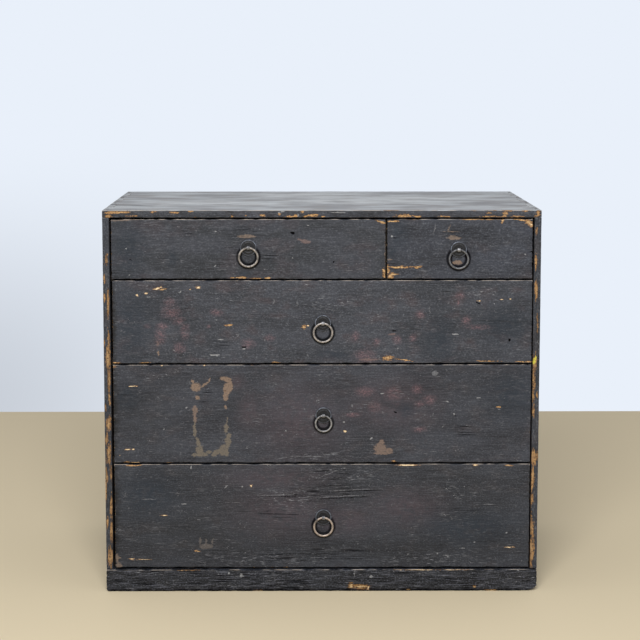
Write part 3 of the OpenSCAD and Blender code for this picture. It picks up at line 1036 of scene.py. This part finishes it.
# %% [markdown]
# ### The marks of this chest
# The marks were measured on the photograph and turned to millimetres on the front: the place, half
# the width and half the height of each, and a turn in degrees where it slants. Noise alone could
# wear the chest as much, but not in the places where its owners' hands wore it. The wide drawer
# is checked round its ring, and worn along its right edge, beside the small drawer.

# %% Marks on the wide drawer's front
MARKS = {}
MARKS["wide_drawer"] = dict(
    bare=[(-148, 550, 10, 1), (-136, 550, 9, 1.8), (-116, 549, 12, 1), (-93, 549, 4.4, 1.6),
          (106, 557, 2.9, 10.2), (100, 646, 10.2, 1.6, -18)],
    worn=[(-128, 621, 13.9, 3), (-335, 649, 23.9, 1.2, 3), (108.6, 590, 0.7, 30)],
    pink=[(-28, 612, 8.4, 3.6, -12), (-36, 615, 6.8, 2, -20)],
    pale=[(-334, 600, 1.4, 1.2), (-329, 555, 1.6, 1.2), (-182, 571, 1.2, 2), (-182, 630, 1.4, 0.8),
          (-50, 584, 1, 1), (-24, 640, 2.4, 1)],
    checks=[(-132, 631, 37.8, 13.9), (-155, 593, 13.9, 10), (-89, 591, 13.9, 12),
            (-230, 627, 12, 8)],
    knots=[(-50, 627, 3.4, 2.4), (20, 577, 1.6, 1.4), (-327, 581, 2.4, 0.8)],
    blue=[(-332, 599, 27.9, 45.8), (-131, 557, 10, 5.2), (-257, 583, 10, 12)],
    scratch_and_highlight=[(-171, 564, 12, 0.4)])

# %% [markdown]
# The small drawer's upper right and lower left corners are bare and chipped, and a scrap of
# paper sticks below its ring. Its bare places are ellipses in rows that follow the edges.

# %% Marks on the small drawer's front
MARKS["small_drawer"] = dict(
    bare=[(121, 647, 12.2, 1.8, 4), (152, 650, 14.3, 0.8), (268, 650, 30.5, 0.8),
          (308, 647, 1.6, 4.5, -12), (338, 649, 12.2, 1.4, -8), (354, 644, 8.6, 4.1, -35),
          (358, 640, 3.3, 3.7), (131, 568, 20.4, 1.8), (165, 568, 9.2, 1.6), (113, 561, 2.4, 12.2),
          (122, 556, 7.7, 1.8), (117, 552, 5.3, 4.5), (137, 547, 4.5, 0.8)],
    worn=[(227, 618, 11.8, 2.9), (222, 621, 6.1, 1.6), (116, 581, 4.5, 1), (217, 635, 1, 7.3, -22),
          (222, 629, 14.3, 0.6)],
    chips=[(114, 548, 5.3, 1.2), (357, 641, 2.9, 2)],
    pale=[(119, 621, 2, 1.6), (347, 590, 1.6, 1)],
    knots=[(358, 594, 4.5, 1), (124, 618, 1.6, 0.8)],
    checks=[(238, 629, 24.4, 8.1)],
    blue=[(128, 625, 18.3, 24.4), (120, 596, 10.2, 12.2)],
    scratch_and_highlight=[(192, 633, 0.8, 8.1, -20)],
    paper=[(232, 576, 7.7, 3.7)])

# %% [markdown]
# The second drawer has the most red haze, in many small zones, as if its paint had worn thin.
# One large zone with a noise in it would look even, so each cloud of it has its own ellipse.

# %% Marks on the second drawer's front
MARKS["second_drawer"] = dict(
    bare=[(-271, 530, 5.2, 1.6), (-160, 468, 7, 1.4), (-31, 465, 4, 2.8), (-302, 403, 8, 1),
          (-352, 403, 8, 0.8), (-79, 403, 8, 1), (113, 410, 10.2, 3.3), (138, 408, 16.3, 1.2, -8),
          (287, 405, 18.3, 0.8), (348, 404, 12.2, 1)],
    chips=[(-281, 532, 6.8, 2, 14), (-275, 534, 2.8, 1.4), (-212, 533, 4, 2.2),
           (-24, 467, 1.6, 1.6), (-226, 530, 2.6, 1), (-301, 523, 2.8, 0.8), (-316, 520, 1.8, 1.2),
           (308, 512, 4.5, 0.8), (323, 513, 2.4, 0.8), (269, 510, 2.9, 1)],
    pale=[(-242, 526, 4, 1.2, 20), (-174, 443, 5, 0.8), (-134, 427, 4, 1.2), (-184, 416, 7.2, 1.8),
          (-181, 477, 1, 1), (-255, 424, 1.2, 1.2), (-297, 517, 3.2, 0.6), (229, 452, 4.9, 1),
          (295, 505, 1, 1)],
    paper=[(-281, 419, 1.6, 4.4)],
    pink=[(-282, 436, 1.6, 5.2), (120, 452, 6.9, 1.6, 10), (83, 408, 16.3, 2)],
    haze=[(-260, 508, 8.8, 6.4), (-274, 466, 9.6, 5.6), (-278, 450, 7.6, 12), (-245, 476, 8.8, 6.4),
          (-235, 457, 6.4, 11.6), (-245, 428, 8.8, 8.4), (-300, 466, 5.2, 3.2),
          (-258, 490, 13.9, 10), (-194, 466, 2.8, 2.4), (-181, 490, 9.2, 5.2), (-127, 436, 10, 7.2),
          (-89, 446, 7.2, 4.8), (58, 448, 6.9, 7.7), (129, 443, 6.9, 6.5), (156, 446, 5.7, 5.7),
          (169, 487, 7.3, 6.5), (95, 439, 5.3, 5.3), (236, 519, 6.9, 4.9), (248, 476, 6.9, 6.9),
          (270, 464, 18.3, 3.7), (75, 415, 16.3, 10.2), (234, 507, 2.4, 3.7)],
    blue=[(-327, 472, 33.9, 65.7), (202, 441, 24.4, 36.6), (314, 468, 38.7, 30.5),
          (18, 417, 24.4, 8.1)],
    # The strip along the left edge is a painted shadow, beside the case's side.
    dirt_and_shade=[(-361, 474, 7, 80)],
    knots=[(268, 506, 4.9, 1, -18), (322, 442, 2, 2.9), (-134, 430, 4, 1.2), (124, 458, 3.3, 1.2)],
    checks=[(-176, 436, 17.9, 12), (159, 468, 18.3, 8.1)],
    hairs=[(-172, 513, 21.9, 6), (12, 505, 44.8, 16.3), (-184, 416, 17.9, 8),
           (119, 433, 24.4, 14.3), (274, 525, 22.4, 12.2)],
    scratch_and_highlight=[(185, 494, 0.8, 8.1), (-82, 509, 0.8, 4), (-42, 506, 0.8, 4.4)])

# %% [markdown]
# The third drawer keeps the outline of a lost label: paper and paste round a plain field. Ragged
# ellipses lie edge to edge round that field, because a drawn outline would be too neat.

# %% Marks on the third drawer's front
MARKS["third_drawer"] = dict(
    bare=[(-338, 229, 5.6, 1.4), (-265, 228, 6, 1), (-323, 228, 12.1, 0.6), (-357, 396, 4, 1.8),
          (124, 230, 4.1, 1.8), (305, 325, 4.1, 1.6)],
    chips=[(-325, 362, 7.6, 1.2, 3), (-335, 251, 5.4, 1.6), (-325, 251, 2.4, 1),
           (-348, 241, 2.6, 0.8), (40, 283, 2.2, 2.2), (-276, 398, 2.8, 0.8), (-202, 398, 2.8, 0.8),
           (-120, 398, 2.8, 0.8)],
    paper=[(-217, 360, 8.5, 7.2), (-222, 370, 2.4, 3.6, 25), (-201, 365, 7.6, 1.8, 35),
           (-194, 372, 1.4, 4.8, -15), (-214, 342, 3.8, 3.4), (-165, 374, 10.1, 4.4, -14),
           (-159, 362, 5.6, 11.7), (-164, 356, 5.2, 12.1), (-166, 342, 4.2, 6),
           (-166, 325, 2.4, 3.4)],
    paste=[(-220, 294, 1.6, 8), (-219, 281, 2.4, 8), (-214, 264, 3.6, 8.9, 18),
           (-211, 249, 7.6, 8.9), (-207, 242, 10.9, 3.4), (-220, 241, 4, 3.4),
           (-195, 246, 4.4, 2.6), (-183, 245, 8.9, 4.4, 35), (-170, 250, 8.5, 10.1, -28),
           (-165, 245, 4.4, 6.4), (-162, 266, 5, 10.9), (-160, 275, 3.2, 4.8),
           (-165, 288, 3.8, 8.5), (-163, 302, 1.2, 6)],
    tint=[(-125, 318, 18, 30), (-40, 300, 70, 60), (-146, 369, 12, 12), (120, 330, 70, 40)],
    haze=[(124, 349, 11.8, 9), (75, 352, 13.4, 6.9), (91, 325, 8.1, 7.3), (53, 312, 11, 3.7),
          (168, 330, 6.9, 4.5), (186, 338, 9, 6.9), (169, 286, 9.8, 4.5), (164, 356, 8.1, 6.9)],
    pale=[(-234, 324, 1.6, 1.6), (-273, 286, 1.4, 1.4), (-30, 322, 1, 1), (-62, 284, 1.4, 1.2),
          (216, 335, 3.5, 1), (228, 313, 1.8, 1.4), (270, 341, 2.9, 1), (85, 270, 1.6, 2.4),
          (38, 299, 1.2, 1), (104, 349, 2.4, 0.8), (210, 291, 0.8, 1.4)],
    blue=[(328, 346, 40.7, 40.7), (146, 321, 12.2, 12.2), (-334, 341, 22.1, 22.1)],
    # The strip along the left edge is a painted shadow, beside the case's side.
    dirt_and_shade=[(-361, 317, 8, 85)],
    shade=[(-307, 302, 50, 52)],
    knots=[(127, 316, 2.6, 1.4), (-167, 353, 1.6, 1.6), (231, 309, 1.2, 1)],
    checks=[(-202, 347, 12.1, 20.1), (252, 284, 20.4, 12.2)],
    hairs=[(-23, 237, 36.2, 6), (9, 239, 32.6, 8.1), (-294, 377, 10.1, 12.1), (198, 379, 6.9, 6.1),
           (18, 381, 32.6, 10.2)],
    scab=[(-219, 319, 4.8, 9.3), (-219, 305, 3.2, 7.6), (101, 252, 10.6, 9.4), (103, 263, 4.9, 5.3),
          (117, 248, 6.5, 5.3), (106, 244, 15.5, 2.4)],
    scratch_and_highlight=[(-110, 263, 4, 0.6), (52, 326, 0.8, 4.1), (194, 247, 4.5, 0.4),
             (-70, 235, 12.1, 0.6, 12), (-29, 238, 24.1, 0.6), (15, 242, 14.3, 0.6),
             (195, 384, 5, 4)])

# %% [markdown]
# The bottom drawer has split along its grain, right of the middle and left of it. The long thin
# knots are the open splits, and the pale lines above them are painted highlights on their lips.

# %% Marks on the bottom drawer's front
MARKS["bottom_drawer"] = dict(
    worn=[(-353, 46, 5.4, 3.9, -20), (-356, 60, 3.4, 6.4), (-353, 59, 4.4, 1.5)],
    bare=[(-327, 223, 12.3, 1), (324, 222, 6.1, 1.5), (-216, 71, 4.4, 1), (-238, 41, 29.4, 0.7),
          (-91, 41, 49.1, 0.7)],
    chips=[(-330, 57, 4.4, 1.5), (-308, 56, 14.2, 0.7), (-273, 134, 6.4, 1), (147, 223, 21.6, 1.7),
           (267, 223, 5.9, 1.5), (327, 77, 10.3, 0.7), (-122, 187, 2.2, 2.2)],
    pale=[(-138, 185, 1.7, 1.7), (-166, 185, 3.4, 1, 45), (-239, 155, 3.4, 1),
          (-226, 219, 1.2, 3.2), (322, 103, 1.5, 1.5), (266, 86, 2, 1.2), (201, 66, 1.5, 1.5),
          (244, 75, 3.9, 0.7)],
    checks=[(45, 176, 58.9, 6.4), (18, 210, 36.8, 14.7), (-29, 172, 39.3, 14.7),
            (-90, 137, 63.8, 7.4), (25, 71, 56.4, 14.7), (-66, 59, 63.8, 14.7)],
    hairs=[(32, 205, 63.8, 22.1), (-54, 167, 58.9, 22.1), (198, 56, 103.1, 14.7),
           (-115, 57, 110.4, 14.7), (246, 177, 44.2, 14.7)],
    tint=[(145, 149, 60, 30), (-70, 140, 80, 40), (42, 127, 50, 25), (-80, 200, 80, 20)],
    # The strip along the left edge is a painted shadow, beside the case's side.
    dirt_and_shade=[(-361, 133, 8, 98)],
    shade=[(-213, 92, 147, 49), (161, 71, 172, 25)],
    blue=[(-299, 170, 49.1, 39.3), (259, 111, 73.6, 29.5)],
    knots=[(42, 176.5, 50, 0.4, 2.5), (37, 165, 48, 0.45, 3), (-55, 168, 62, 0.3, 1.5),
           (20, 187, 30, 0.3, 2), (-20, 66, 60, 0.3), (30, 57, 55, 0.3)],
    smear=[(-201, 79, 11.8, 4.4), (-211, 88, 1.7, 7.4), (-190, 87, 1.2, 6.4, -10),
           (-201, 88, 1.5, 5.4)],
    # These pale lines are painted highlights on the lips of the splits and on raised grain.
    scratch_and_highlight=[(-299, 163, 14.7, 0.5), (-95, 170, 17.2, 0.5), (-63, 171, 14.7, 0.7, 2),
             (-148, 157, 6.1, 0.5), (290, 153, 9.8, 0.7), (10, 207, 19.6, 0.5, 22),
             (47, 179, 36.8, 0.5, 2), (37, 168, 49.1, 0.5, 3)])

# %% [markdown]
# The top's edge has been bumped along its whole length, most at its two ends, so it has a row of
# bare places and a few pale ones.

# %% Marks on the top's front edge
MARKS["top_edge"] = dict(
    bare=[(-348, 662, 19.9, 1.8), (-364, 656, 5.6, 3), (-288, 663, 6, 1.4), (-251, 662, 6.8, 1.8),
          (-223, 664, 6, 1.2), (-321, 656, 12, 0.8), (-153, 656, 2.4, 1.2), (-130, 657, 2.8, 1.2),
          (-102, 657, 3.6, 1.8), (-73, 659, 2.4, 2.6), (-57, 656, 6, 1.8), (-46, 657, 4, 2.4),
          (-34, 663, 2.8, 1.8), (-28, 656, 4, 1.8), (-16, 657, 8, 2.2), (2, 655, 3.1, 1.2),
          (139, 656, 16.3, 2.4), (162, 655, 6.1, 1.2), (118, 666, 14.3, 1), (168, 667, 6.1, 1.4),
          (198, 667, 8.1, 1), (256, 666, 5.1, 1.6), (284, 661, 3.1, 1.6), (294, 666, 5.1, 1.4),
          (314, 666, 11.2, 2.9), (313, 661, 3.7, 2.9), (346, 665, 6.1, 1.8), (369, 661, 3.7, 4.9),
          (366, 656, 5.1, 1.6), (208, 655, 10.2, 1), (284, 655, 16.3, 0.8), (310, 656, 4.1, 1.6),
          (332, 655, 12.2, 1)],
    pale=[(-67, 664, 3.6, 2), (-41, 658, 2, 2.4), (-73, 662, 1.6, 1.6), (28, 662, 12.2, 0.6)])

# %% [markdown]
# The base's lowest few millimetres are painted black, as shade where it meets the floor, and brooms
# and feet have knocked a few pieces out of its edges.

# %% Marks on the base
MARKS["base"] = dict(
    bare=[(67, 8, 14.2, 4.9), (51, 10, 4.4, 5.9), (-233, 38, 19.6, 1), (266, 8, 2.5, 2.2),
          (294, 1, 9.8, 1.5), (151, 3, 3.9, 1), (-110, 1, 7.4, 1.5)],
    chips=[(81, 6, 1.5, 3.4), (185, 38, 73.6, 0.5)],
    pale=[(57, 31, 0.5, 5.9), (86, 26, 2, 2.5), (342, 37, 1.2, 1.2), (-162, 32, 2, 2),
          (-140, 28, 3.4, 3.4)],
    # A painted shade along the foot, where the base meets the floor.
    soot=[(0, 0, 400, 4)],
    checks=[(0, 20, 700, 40)])

# %% [markdown]
# The sides' front edges are bare in short stretches, where the drawers' corners struck them.
# The top is dusty, with a painted sheen of reflected light that is brightest in the middle, but
# wiped dark near its left front corner.

# %% Marks on the sides' front edges and the top
LEFT_EDGE = [(-368, 582, 2.4, 9), (-372, 546, 2.2, 8), (-372, 516, 2.2, 8), (-366, 505, 2, 22),
             (-374, 436, 1.5, 8), (-366, 440, 2, 20), (-367, 409, 4.6, 20), (-366, 372, 2.8, 22),
             (-366, 340, 2, 12), (-373, 325, 2.4, 8), (-367, 296, 4.6, 12), (-371, 270, 2.6, 12),
             (-368, 240, 4.6, 22), (-372, 208, 2.6, 14), (-364, 212, 2.4, 12), (-374, 180, 1.4, 22),
             (-365, 150, 2, 20), (-372, 122, 2.2, 10), (-365, 105, 2.4, 22), (-367, 60, 5, 18)]
RIGHT_EDGE = [(366, 630, 2, 6), (366, 577, 2.2, 14), (367, 527, 3, 16), (370, 470, 1.6, 16),
              (367, 402, 3.6, 14), (365, 372, 3, 20), (364, 340, 2.6, 12), (371, 346, 2, 5),
              (364, 318, 2.6, 10), (366, 237, 5.4, 16), (365, 200, 3.6, 20), (364, 162, 3, 12),
              (364, 134, 2.6, 10), (365, 108, 3.2, 16), (365, 74, 4.4, 34), (372, 240, 2, 10)]
YELLOW_SPOT = [(365, 405, 2.6, 4.5), (368, 411, 1.2, 3.4)]
TOP_DARK = [(-345, -113, 34, 5), (-318, -121, 24, 9), (-366, -110, 12, 3)]
# Where the top is brightest: dust and a painted reflection.
TOP_DUST_AND_SHEEN = [(-20, 120, 110, 70), (60, -20, 140, 60), (-180, -60, 110, 40), (180, 60, 90, 40)]
print("marks:", {part: sum(map(len, kinds.values())) for part, kinds in MARKS.items()})

# %% [markdown]
# ### Painting
# Each front has its own mix of near blacks, measured beside the others, and the bottom front is the
# darkest of them. The sides and the top are dusty, the top also with a painted sheen, and the base
# is the darkest and the coarsest.

# %% Paint the drawers and the case
TONES = {
    "wide_drawer": (("#33363f", "#282b32", "#343138"), 0.75),
    "small_drawer": (("#333742", "#292c35", "#333138"), 0.95),
    "second_drawer": (("#383b44", "#2d3038", "#3c363c"), 1.0),
    "third_drawer": (("#343740", "#292b33", "#36343a"), 0.8),
    "bottom_drawer": (("#2f323a", "#272930", "#302f34"), 0.85),
}
SIDE_WOOD = ("#9c774d", "#463223")
for number, drawer in enumerate(DRAWERS):
    tone, rough = TONES[drawer]
    paint_over(fronts[drawer],
               black_paint(f"black_paint_{drawer}", f"{drawer}_front", X, MARKS[drawer],
                           number + 1, tone, rough, rub=0.25, drawer=drawer))
top_marks = dict(MARKS["top_edge"], dark=TOP_DARK, dust_and_sheen=TOP_DUST_AND_SHEEN)
paint_over(top, black_paint("dusty_sheened_black_paint_top", "top_board", X, top_marks, 11, rough=1.1,
                            rub=0.6, dust_and_sheen=True))
side_marks = {"left_side": {"bare": LEFT_EDGE},
              "right_side": {"bare": RIGHT_EDGE, "yellow": YELLOW_SPOT}}
for number, (node, marks) in enumerate(side_marks.items()):
    paint_over(sides[node], black_paint(f"black_paint_{node}", node, Z, marks, 13 + number,
                                        ("#2e323b", "#262a31", "#312f34"), 1.1, rub=0.5,
                                        dust_and_sheen=True, bare=SIDE_WOOD))
for number, (node, rail) in enumerate(rails.items()):
    along = X if "front" in node or "back" in node else Y
    paint_over(rail, black_paint(f"black_paint_{node}", node, along,
                                 MARKS["base"] if node == "base_front_rail" else {}, 17 + number,
                                 ("#1b1e25", "#12141a", "#1d1d22"), 1.2, scuff=1.0,
                                 bare=("#8c683b", "#4f3721"), ridges="#767986", ridged=2.6))

# %% [markdown]
# The boards that no paint reached need one wood across and one along the depth, because their grain
# runs so. Those of the case get painted shade, black near their front ends, which show only in the
# gaps between the drawers.

# %% Give the bare boards their wood
for node, back in backs.items():
    paint_over(back, softwood(f"aged_softwood_{node}", X, "#8b7058", "#665041", 21 + len(node)))
inner_wood, case_wood = {}, {}
for along, way, seed in ((X, "across", 31), (Y, "deep", 32)):
    inner_wood[along] = softwood(f"bare_softwood_{way}", along, *BARE_WOOD, seed)
    case_wood[along] = softwood(f"sooty_softwood_{way}", along, *BARE_WOOD, seed, shaded_front=True)
for node in ("shelf_upper", "shelf_middle", "shelf_lower", "bottom_board", "drawer_divider"):
    paint_over(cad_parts[node], case_wood[Y if node == "drawer_divider" else X])
for drawer in DRAWERS:
    for kind, along in {"left_side": Y, "right_side": Y, "back": X, "bottom": X, "pegs": Y}.items():
        paint_over(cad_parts[f"{drawer}_{kind}"], inner_wood[along])

# %% [markdown]
# ### Iron
# Forged iron that is touched often keeps a dull grey shine where the fingers reach, on the front of
# the wire, and stays dark behind. Here the bright front, which faces the window, is also a painted
# highlight, and the dark flanks a painted shade. One colour would look like plastic, so the same
# material holds both, and a mask says where the metal is bare.

# %% Wrought iron
def iron(name, bright, dark, seed, shine):
    """Iron whose bright metal shows through a dark skin, where shine says so."""
    material, tree, shader = new_material(name)
    place = millimetres(tree)
    pits = noise(tree, place, X, 2.2, 2.2, seed, 3.0)
    patch = noise(tree, place, X, 7, 7, seed + 1, 2.0)
    bare = ("times", ("ramp", patch, 0.35, 0.6, 0.3, 1.0), shine(tree, place))
    bare = add(tree, "times", bare, ("ramp", pits, 0.3, 0.45, 0.4, 1.0))
    give(tree, shader, {
        "Base Color": ("cover", bare, dark, bright), "Metallic": ("ramp", bare, 0, 1, 0.2, 0.85),
        "Roughness": ("ramp", pits, 0.3, 0.7, 0.66, 0.46), "Normal": ("bump", pits, 0.25 * MM)})
    return material


# %% [markdown]
# Fingers reach the front of a ring. The plates were painted with the fronts, so only their rims and
# the ring inside them are rubbed to metal, and the bright rim is partly a painted highlight. Inside
# the hanging ring the rim is dimmed as painted shade. Both masks are distances and normals, because
# these follow the real shapes exactly.

# %% Where the metal is rubbed bare
def rubbed_and_lit_in_front(tree, place):
    """1 on the faces that look to the front, toward the window: rubbed metal and a painted
    highlight.
    """
    return add(tree, "ramp", ("y", ("normal",)), -0.2, -0.7)


def rim_wear_and_highlight(drawer):
    """1 on a plate's rim, worn and partly a painted highlight, fainter on the ring inside it, and
    dimmed inside the hanging ring as painted shade.
    """
    low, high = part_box(f"{drawer}_pull_plate")
    outer_r = (high[X] - low[X]) / 2 / MM

    def rule(tree, place):
        off = ring_distance(tree, place, (low + high) / 2 / MM)
        # The bright rim is worn metal and a painted highlight.
        rim = ("times", ("ramp", off, outer_r - 2.2, outer_r - 1.4),
               ("ramp", off, outer_r + 0.1, outer_r - 0.6, 0.0, 0.9))
        bead = ("times", ("ramp", off, outer_r - 6.4, outer_r - 5.6),
                ("ramp", off, outer_r - 4.4, outer_r - 5.2, 0.0, 0.12))
        ring_low, ring_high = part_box(f"{drawer}_pull_ring")
        inside = ring_distance(tree, place, (ring_low + ring_high) / 2 / MM)
        # Inside the hanging ring it is dimmed as painted shade.
        return add(tree, "times", ("greater", rim, bead), ("ramp", inside, 11, 14, 0.3, 1.0))
    return rule


# %% [markdown]
# No two rings are equally bright, so each has its own pair of colours, bare and dark, measured
# on the photograph. The plates share one pair, and so do the pins.

# %% Give the pulls and the nails their iron
RING_IRON = {"wide_drawer": ("#aea8a4", "#1f1d1c"), "small_drawer": ("#7a7b80", "#0f0f11"),
             "second_drawer": ("#b4aeaa", "#201e1d"), "third_drawer": ("#a2a2a4", "#1a1a1b"),
             "bottom_drawer": ("#bcaea4", "#231e1b")}
pin_iron = iron("wrought_iron_pins", "#a0a0a4", "#29292b", 42, rubbed_and_lit_in_front)
for number, (drawer, parts) in enumerate(pulls.items()):
    paint_over(parts["ring"], iron(f"wrought_iron_{drawer}_ring", *RING_IRON[drawer],
                                   43 + number, rubbed_and_lit_in_front))
    paint_over(parts["plate"], iron(f"painted_iron_{drawer}_plate", "#7e8594", "#131419",
                                    53 + number, rim_wear_and_highlight(drawer)))
    paint_over(parts["pin"], pin_iron)
paint_over(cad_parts["case_nails"], iron("rusty_iron_nails", "#6b5d52", "#2e2925", 49,
                                              rubbed_and_lit_in_front))
print(len(bpy.data.materials), "materials")

# %% [markdown]
# ## The studio
# A plain pale floor with a far edge, and a pale sky behind it. Only the camera sees the sky's
# pale blue, by the Light Path node, while the light that falls on the chest is a plain soft
# white, from all round and from one window in front.

# %% The floor
FAR_Y, FLOOR_FRONT, FLOOR_W = 1.299, -20, 40       # metres, as all places in the studio
bpy.ops.mesh.primitive_plane_add(size=1, location=(0, (FAR_Y + FLOOR_FRONT) / 2, 0))
floor = bpy.context.object
floor.name = floor.data.name = "floor"
floor.scale = (FLOOR_W, FAR_Y - FLOOR_FRONT, 1)
bpy.ops.object.transform_apply()
floor_paint, tree, shader = new_material("pale_floor")
give(tree, shader, {"Base Color": "#e8d8b7", "Roughness": 0.85})
paint_over(floor, floor_paint)

# %% [markdown]
# The sky is a Background for the camera and another for all other rays, so that its colour can
# be set without tinting the chest. It is a little darker at the lower left, away from the light.

# %% The light
world = bpy.data.worlds.new("studio")
bpy.context.scene.world = world
world.use_nodes = True
sky = world.node_tree
sky.nodes.clear()
across, _, level = add(sky, "parts", ("view_place",))
shade = ("times", ("ramp", level, -0.04, -0.2), ("ramp", across, 0.0, -0.2))
seen = ("background", ("cover", shade, "#e9f0fa", "#c8ced7"), 1.0)
add(sky, "world", ("mix_shader", ("camera_ray",), ("background", "#f4f6fa", 0.45), seen))

# %% [markdown]
# One large square lamp in front and above gives the soft shadows of a window, because the size of
# a lamp, and not its power, is what makes a shadow soft.

# %% The window
LAMP, AIM = Vector((-0.2, -3.0, 2.3)), Vector((0, 0, 0.25))
LAMP_SIZE, WATTS = 1.6, 97
bpy.ops.object.light_add(type="AREA", location=LAMP)
window = bpy.context.object
window.name = "window"
window.rotation_euler = (AIM - LAMP).to_track_quat("-Z", "Y").to_euler()
window.data.size, window.data.energy = LAMP_SIZE, WATTS
print("a sky and one window of", WATTS, "watts")

# %% [markdown]
# The camera stands 3 metres away, a little above the chest, and looks down by 6 degrees: its
# place was fitted to the corners of the front in the photograph. The lens is shifted as well,
# because turning the camera further would make the chest's upright edges lean.

# %% The camera
LENS, SENSOR, FRAME_PX = 93.71, 36.0, 640
bpy.ops.object.camera_add(location=(-0.0363, -3.0409, 0.9107),
                          rotation=(math.radians(90 - 5.974), 0, math.radians(-0.322)))
camera = bpy.context.object
camera.data.lens, camera.data.sensor_width = LENS, SENSOR
camera.data.shift_x, camera.data.shift_y = 10 / FRAME_PX, -80 / FRAME_PX
bpy.context.scene.camera = camera
bpy.context.scene.view_settings.view_transform = "Standard"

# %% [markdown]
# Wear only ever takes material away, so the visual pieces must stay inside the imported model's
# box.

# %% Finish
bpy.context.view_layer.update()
